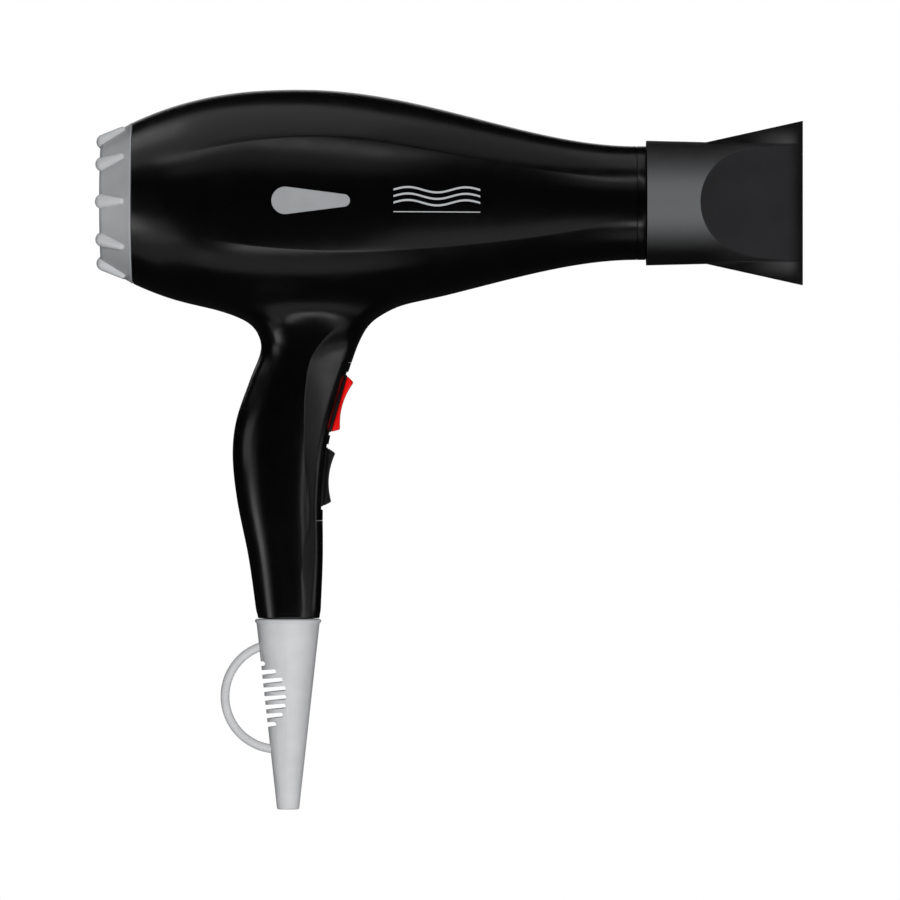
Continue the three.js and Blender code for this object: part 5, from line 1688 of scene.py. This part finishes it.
@dataclass
class Studio:
    """The camera, the pale floor, the soft lights and the white surround."""

    middle: Pair = (0.0715, 0.0043)
    distance: float = 4.2
    lens: float = 400.0
    aim_height: float = 0.04
    floor_drop: float = 0.5
    floor_radius: float = 6.0
    floor_tone: float = 0.86
    fade_start: float = 0.5
    fade_rate: float = 1.4
    floor_in_gloss: float = 0.015
    surround_in_matt: float = 0.06
    surround_in_gloss: float = 0.006

    LIGHTS: ClassVar[dict[str, tuple[Softbox, ...]]] = {
        "barrel's top": (
            Softbox((-0.42, 0.06, 0.95), (1.8, 0.9), 0.5),
            Softbox((-0.6, 0.2, 0.9), (0.4, 0.5), 0.7),
            Softbox((0.66, 0.06, 0.95), (0.8, 0.9), 0.3),
        ),
        "upper crease": (
            Softbox((-0.1, -0.6, 0.84), (1.2, 0.16), 1.4),
            Softbox((-0.1, -0.82, 0.7), (1.2, 0.22), 0.22),
        ),
        "lower crease and belly": (
            Softbox((0.03, -0.37, -0.26), (0.34, 0.07), 2.6),
            Softbox((0.0, -0.2, -0.38), (0.46, 0.2), 0.35),
            Softbox((0.45, -0.42, -0.3), (0.5, 0.3), 0.45),
            Softbox((-0.42, -0.22, -0.38), (0.4, 0.34), 0.3),
        ),
        "handle's back": (
            Softbox((-1.25, -0.4, 0.1), (0.66, 0.34), 1.0),
            Softbox((-1.12, -0.58, -0.4), (0.42, 0.42), 2.0),
            Softbox((-0.26, -0.2, -0.07), (0.12, 0.15), 0.4),
        ),
        "handle's facet and front": (
            Softbox((1.17, -0.54, -0.24), (0.85, 0.42), 0.4),
            Softbox((0.93, -0.87, -0.27), (0.18, 0.42), 1.6),
            Softbox((1.35, 0.2, -0.1), (0.4, 0.3), 0.8),
        ),
        "far side": (Softbox((0.1, 0.9, 0.35), (1.4, 0.25), 0.8),),
        "matt surfaces": (
            Softbox((0.3, -2.75, 0.4), (0.8, 0.8), 30.0, LightPart.BODY),
            Softbox((-0.2, 2.75, 0.5), (0.8, 0.8), 27.0, LightPart.BODY),
            Softbox((0.1, 0.0, 2.2), (0.8, 0.8), 6.0, LightPart.BODY),
        ),
    }

    def camera(self) -> None:
        """Sets a long lens square to the dryer's side."""
        Bench.clear()
        bpy.ops.object.camera_add(
            location=(self.middle[0], -self.distance, self.middle[1]), rotation=(math.pi / 2, 0, 0),
        )
        camera = bpy.context.object
        camera.data.lens = self.lens
        camera.data.sensor_width = 36.0
        camera.data.clip_start, camera.data.clip_end = 0.1, 60.0
        bpy.context.scene.camera = camera

    def floor(self, height: float) -> None:
        """Lays a pale floor whose far parts fade into the white surround.

        Args:
            height: The floor's level in metres.
        """
        Bench.clear()
        bpy.ops.mesh.primitive_circle_add(
            vertices=96, radius=self.floor_radius, fill_type="NGON",
        )
        floor = bpy.context.object
        floor.name = floor.data.name = "studio_floor"
        Bench.edit(floor)
        bpy.ops.mesh.select_all(action="SELECT")
        bpy.ops.transform.translate(value=(self.middle[0], 0, height))
        bpy.ops.object.mode_set(mode="OBJECT")
        nodes = Nodes("floor_white")
        shader = nodes.shader
        shader.inputs["Base Color"].default_value = (*[self.floor_tone] * 3, 1)
        shader.inputs["Roughness"].default_value = 0.8
        shader.inputs["Specular IOR Level"].default_value = 0.1
        x, y, _ = nodes.axes()
        far = nodes.math("SUBTRACT", nodes.distance(x, y), self.fade_start)
        far = nodes.math("MULTIPLY", far, self.fade_rate)
        far = nodes.math("MAXIMUM", nodes.math("MINIMUM", far, 1.0), 0.0)
        white = nodes.add("ShaderNodeEmission", Strength=1.0).outputs[0]
        dim = nodes.add("ShaderNodeEmission", Strength=self.floor_in_gloss).outputs[0]
        rays = nodes.add("ShaderNodeLightPath").outputs
        surface = shader.outputs[0]
        seen_far = nodes.math("MULTIPLY", far, rays["Is Camera Ray"])
        for share, other in ((seen_far, white), (rays["Is Glossy Ray"], dim)):
            joint = nodes.add("ShaderNodeMixShader")
            for socket, value in zip(joint.inputs, (share, surface, other)):
                nodes.feed(socket, value)
            surface = joint.outputs[0]
        nodes.feed(nodes.tree.nodes["Material Output"].inputs["Surface"], surface)
        floor.data.materials.append(nodes.material)
        floor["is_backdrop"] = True

    def surround(self) -> None:
        """Sets a surround that the camera sees as white and that barely lights the dryer."""
        world = bpy.data.worlds.new("surround")
        bpy.context.scene.world = world
        world.use_nodes = True
        tree = world.node_tree
        path = tree.nodes.new("ShaderNodeLightPath")
        seen = tree.nodes.new("ShaderNodeMath")
        seen.operation = "MAXIMUM"
        tree.links.new(path.outputs["Is Camera Ray"], seen.inputs[0])
        tree.links.new(path.outputs["Is Transmission Ray"], seen.inputs[1])
        glossy = tree.nodes.new("ShaderNodeMapRange")
        glossy.inputs["To Min"].default_value = self.surround_in_matt
        glossy.inputs["To Max"].default_value = self.surround_in_gloss
        tree.links.new(path.outputs["Is Glossy Ray"], glossy.inputs["Value"])
        strength = tree.nodes.new("ShaderNodeMix")
        tree.links.new(seen.outputs[0], strength.inputs[0])
        tree.links.new(glossy.outputs[0], strength.inputs[2])
        strength.inputs[3].default_value = 1.0
        background = tree.nodes["Background"]
        background.inputs["Color"].default_value = (1, 1, 1, 1)
        tree.links.new(strength.outputs[0], background.inputs["Strength"])

    def build(self) -> None:
        """Sets up everything round the dryer."""
        bpy.context.scene.view_settings.view_transform = "Standard"
        self.camera()
        self.surround()
        self.floor(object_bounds()[0][2] - self.floor_drop)
        aim = Vector((self.middle[0], 0.0, self.aim_height))
        for purpose, lights in self.LIGHTS.items():
            LOG.info("lights for the %s: %d", purpose, len(lights))
            for light in lights:
                light.hang(aim)


def main() -> None:
    """Builds the dryer's pieces in order."""
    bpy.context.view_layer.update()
    paints = Paints()
    Studio().build()
    casing = Casing(paints)
    for assembly in (
        casing, Rockers(paints, casing), RearCap(paints), Outlet(paints), Boot(paints),
        Insides(paints),
    ):
        LOG.info("building %s", type(assembly).__name__)
        assembly.build()


if __name__ == "__main__":
    main()
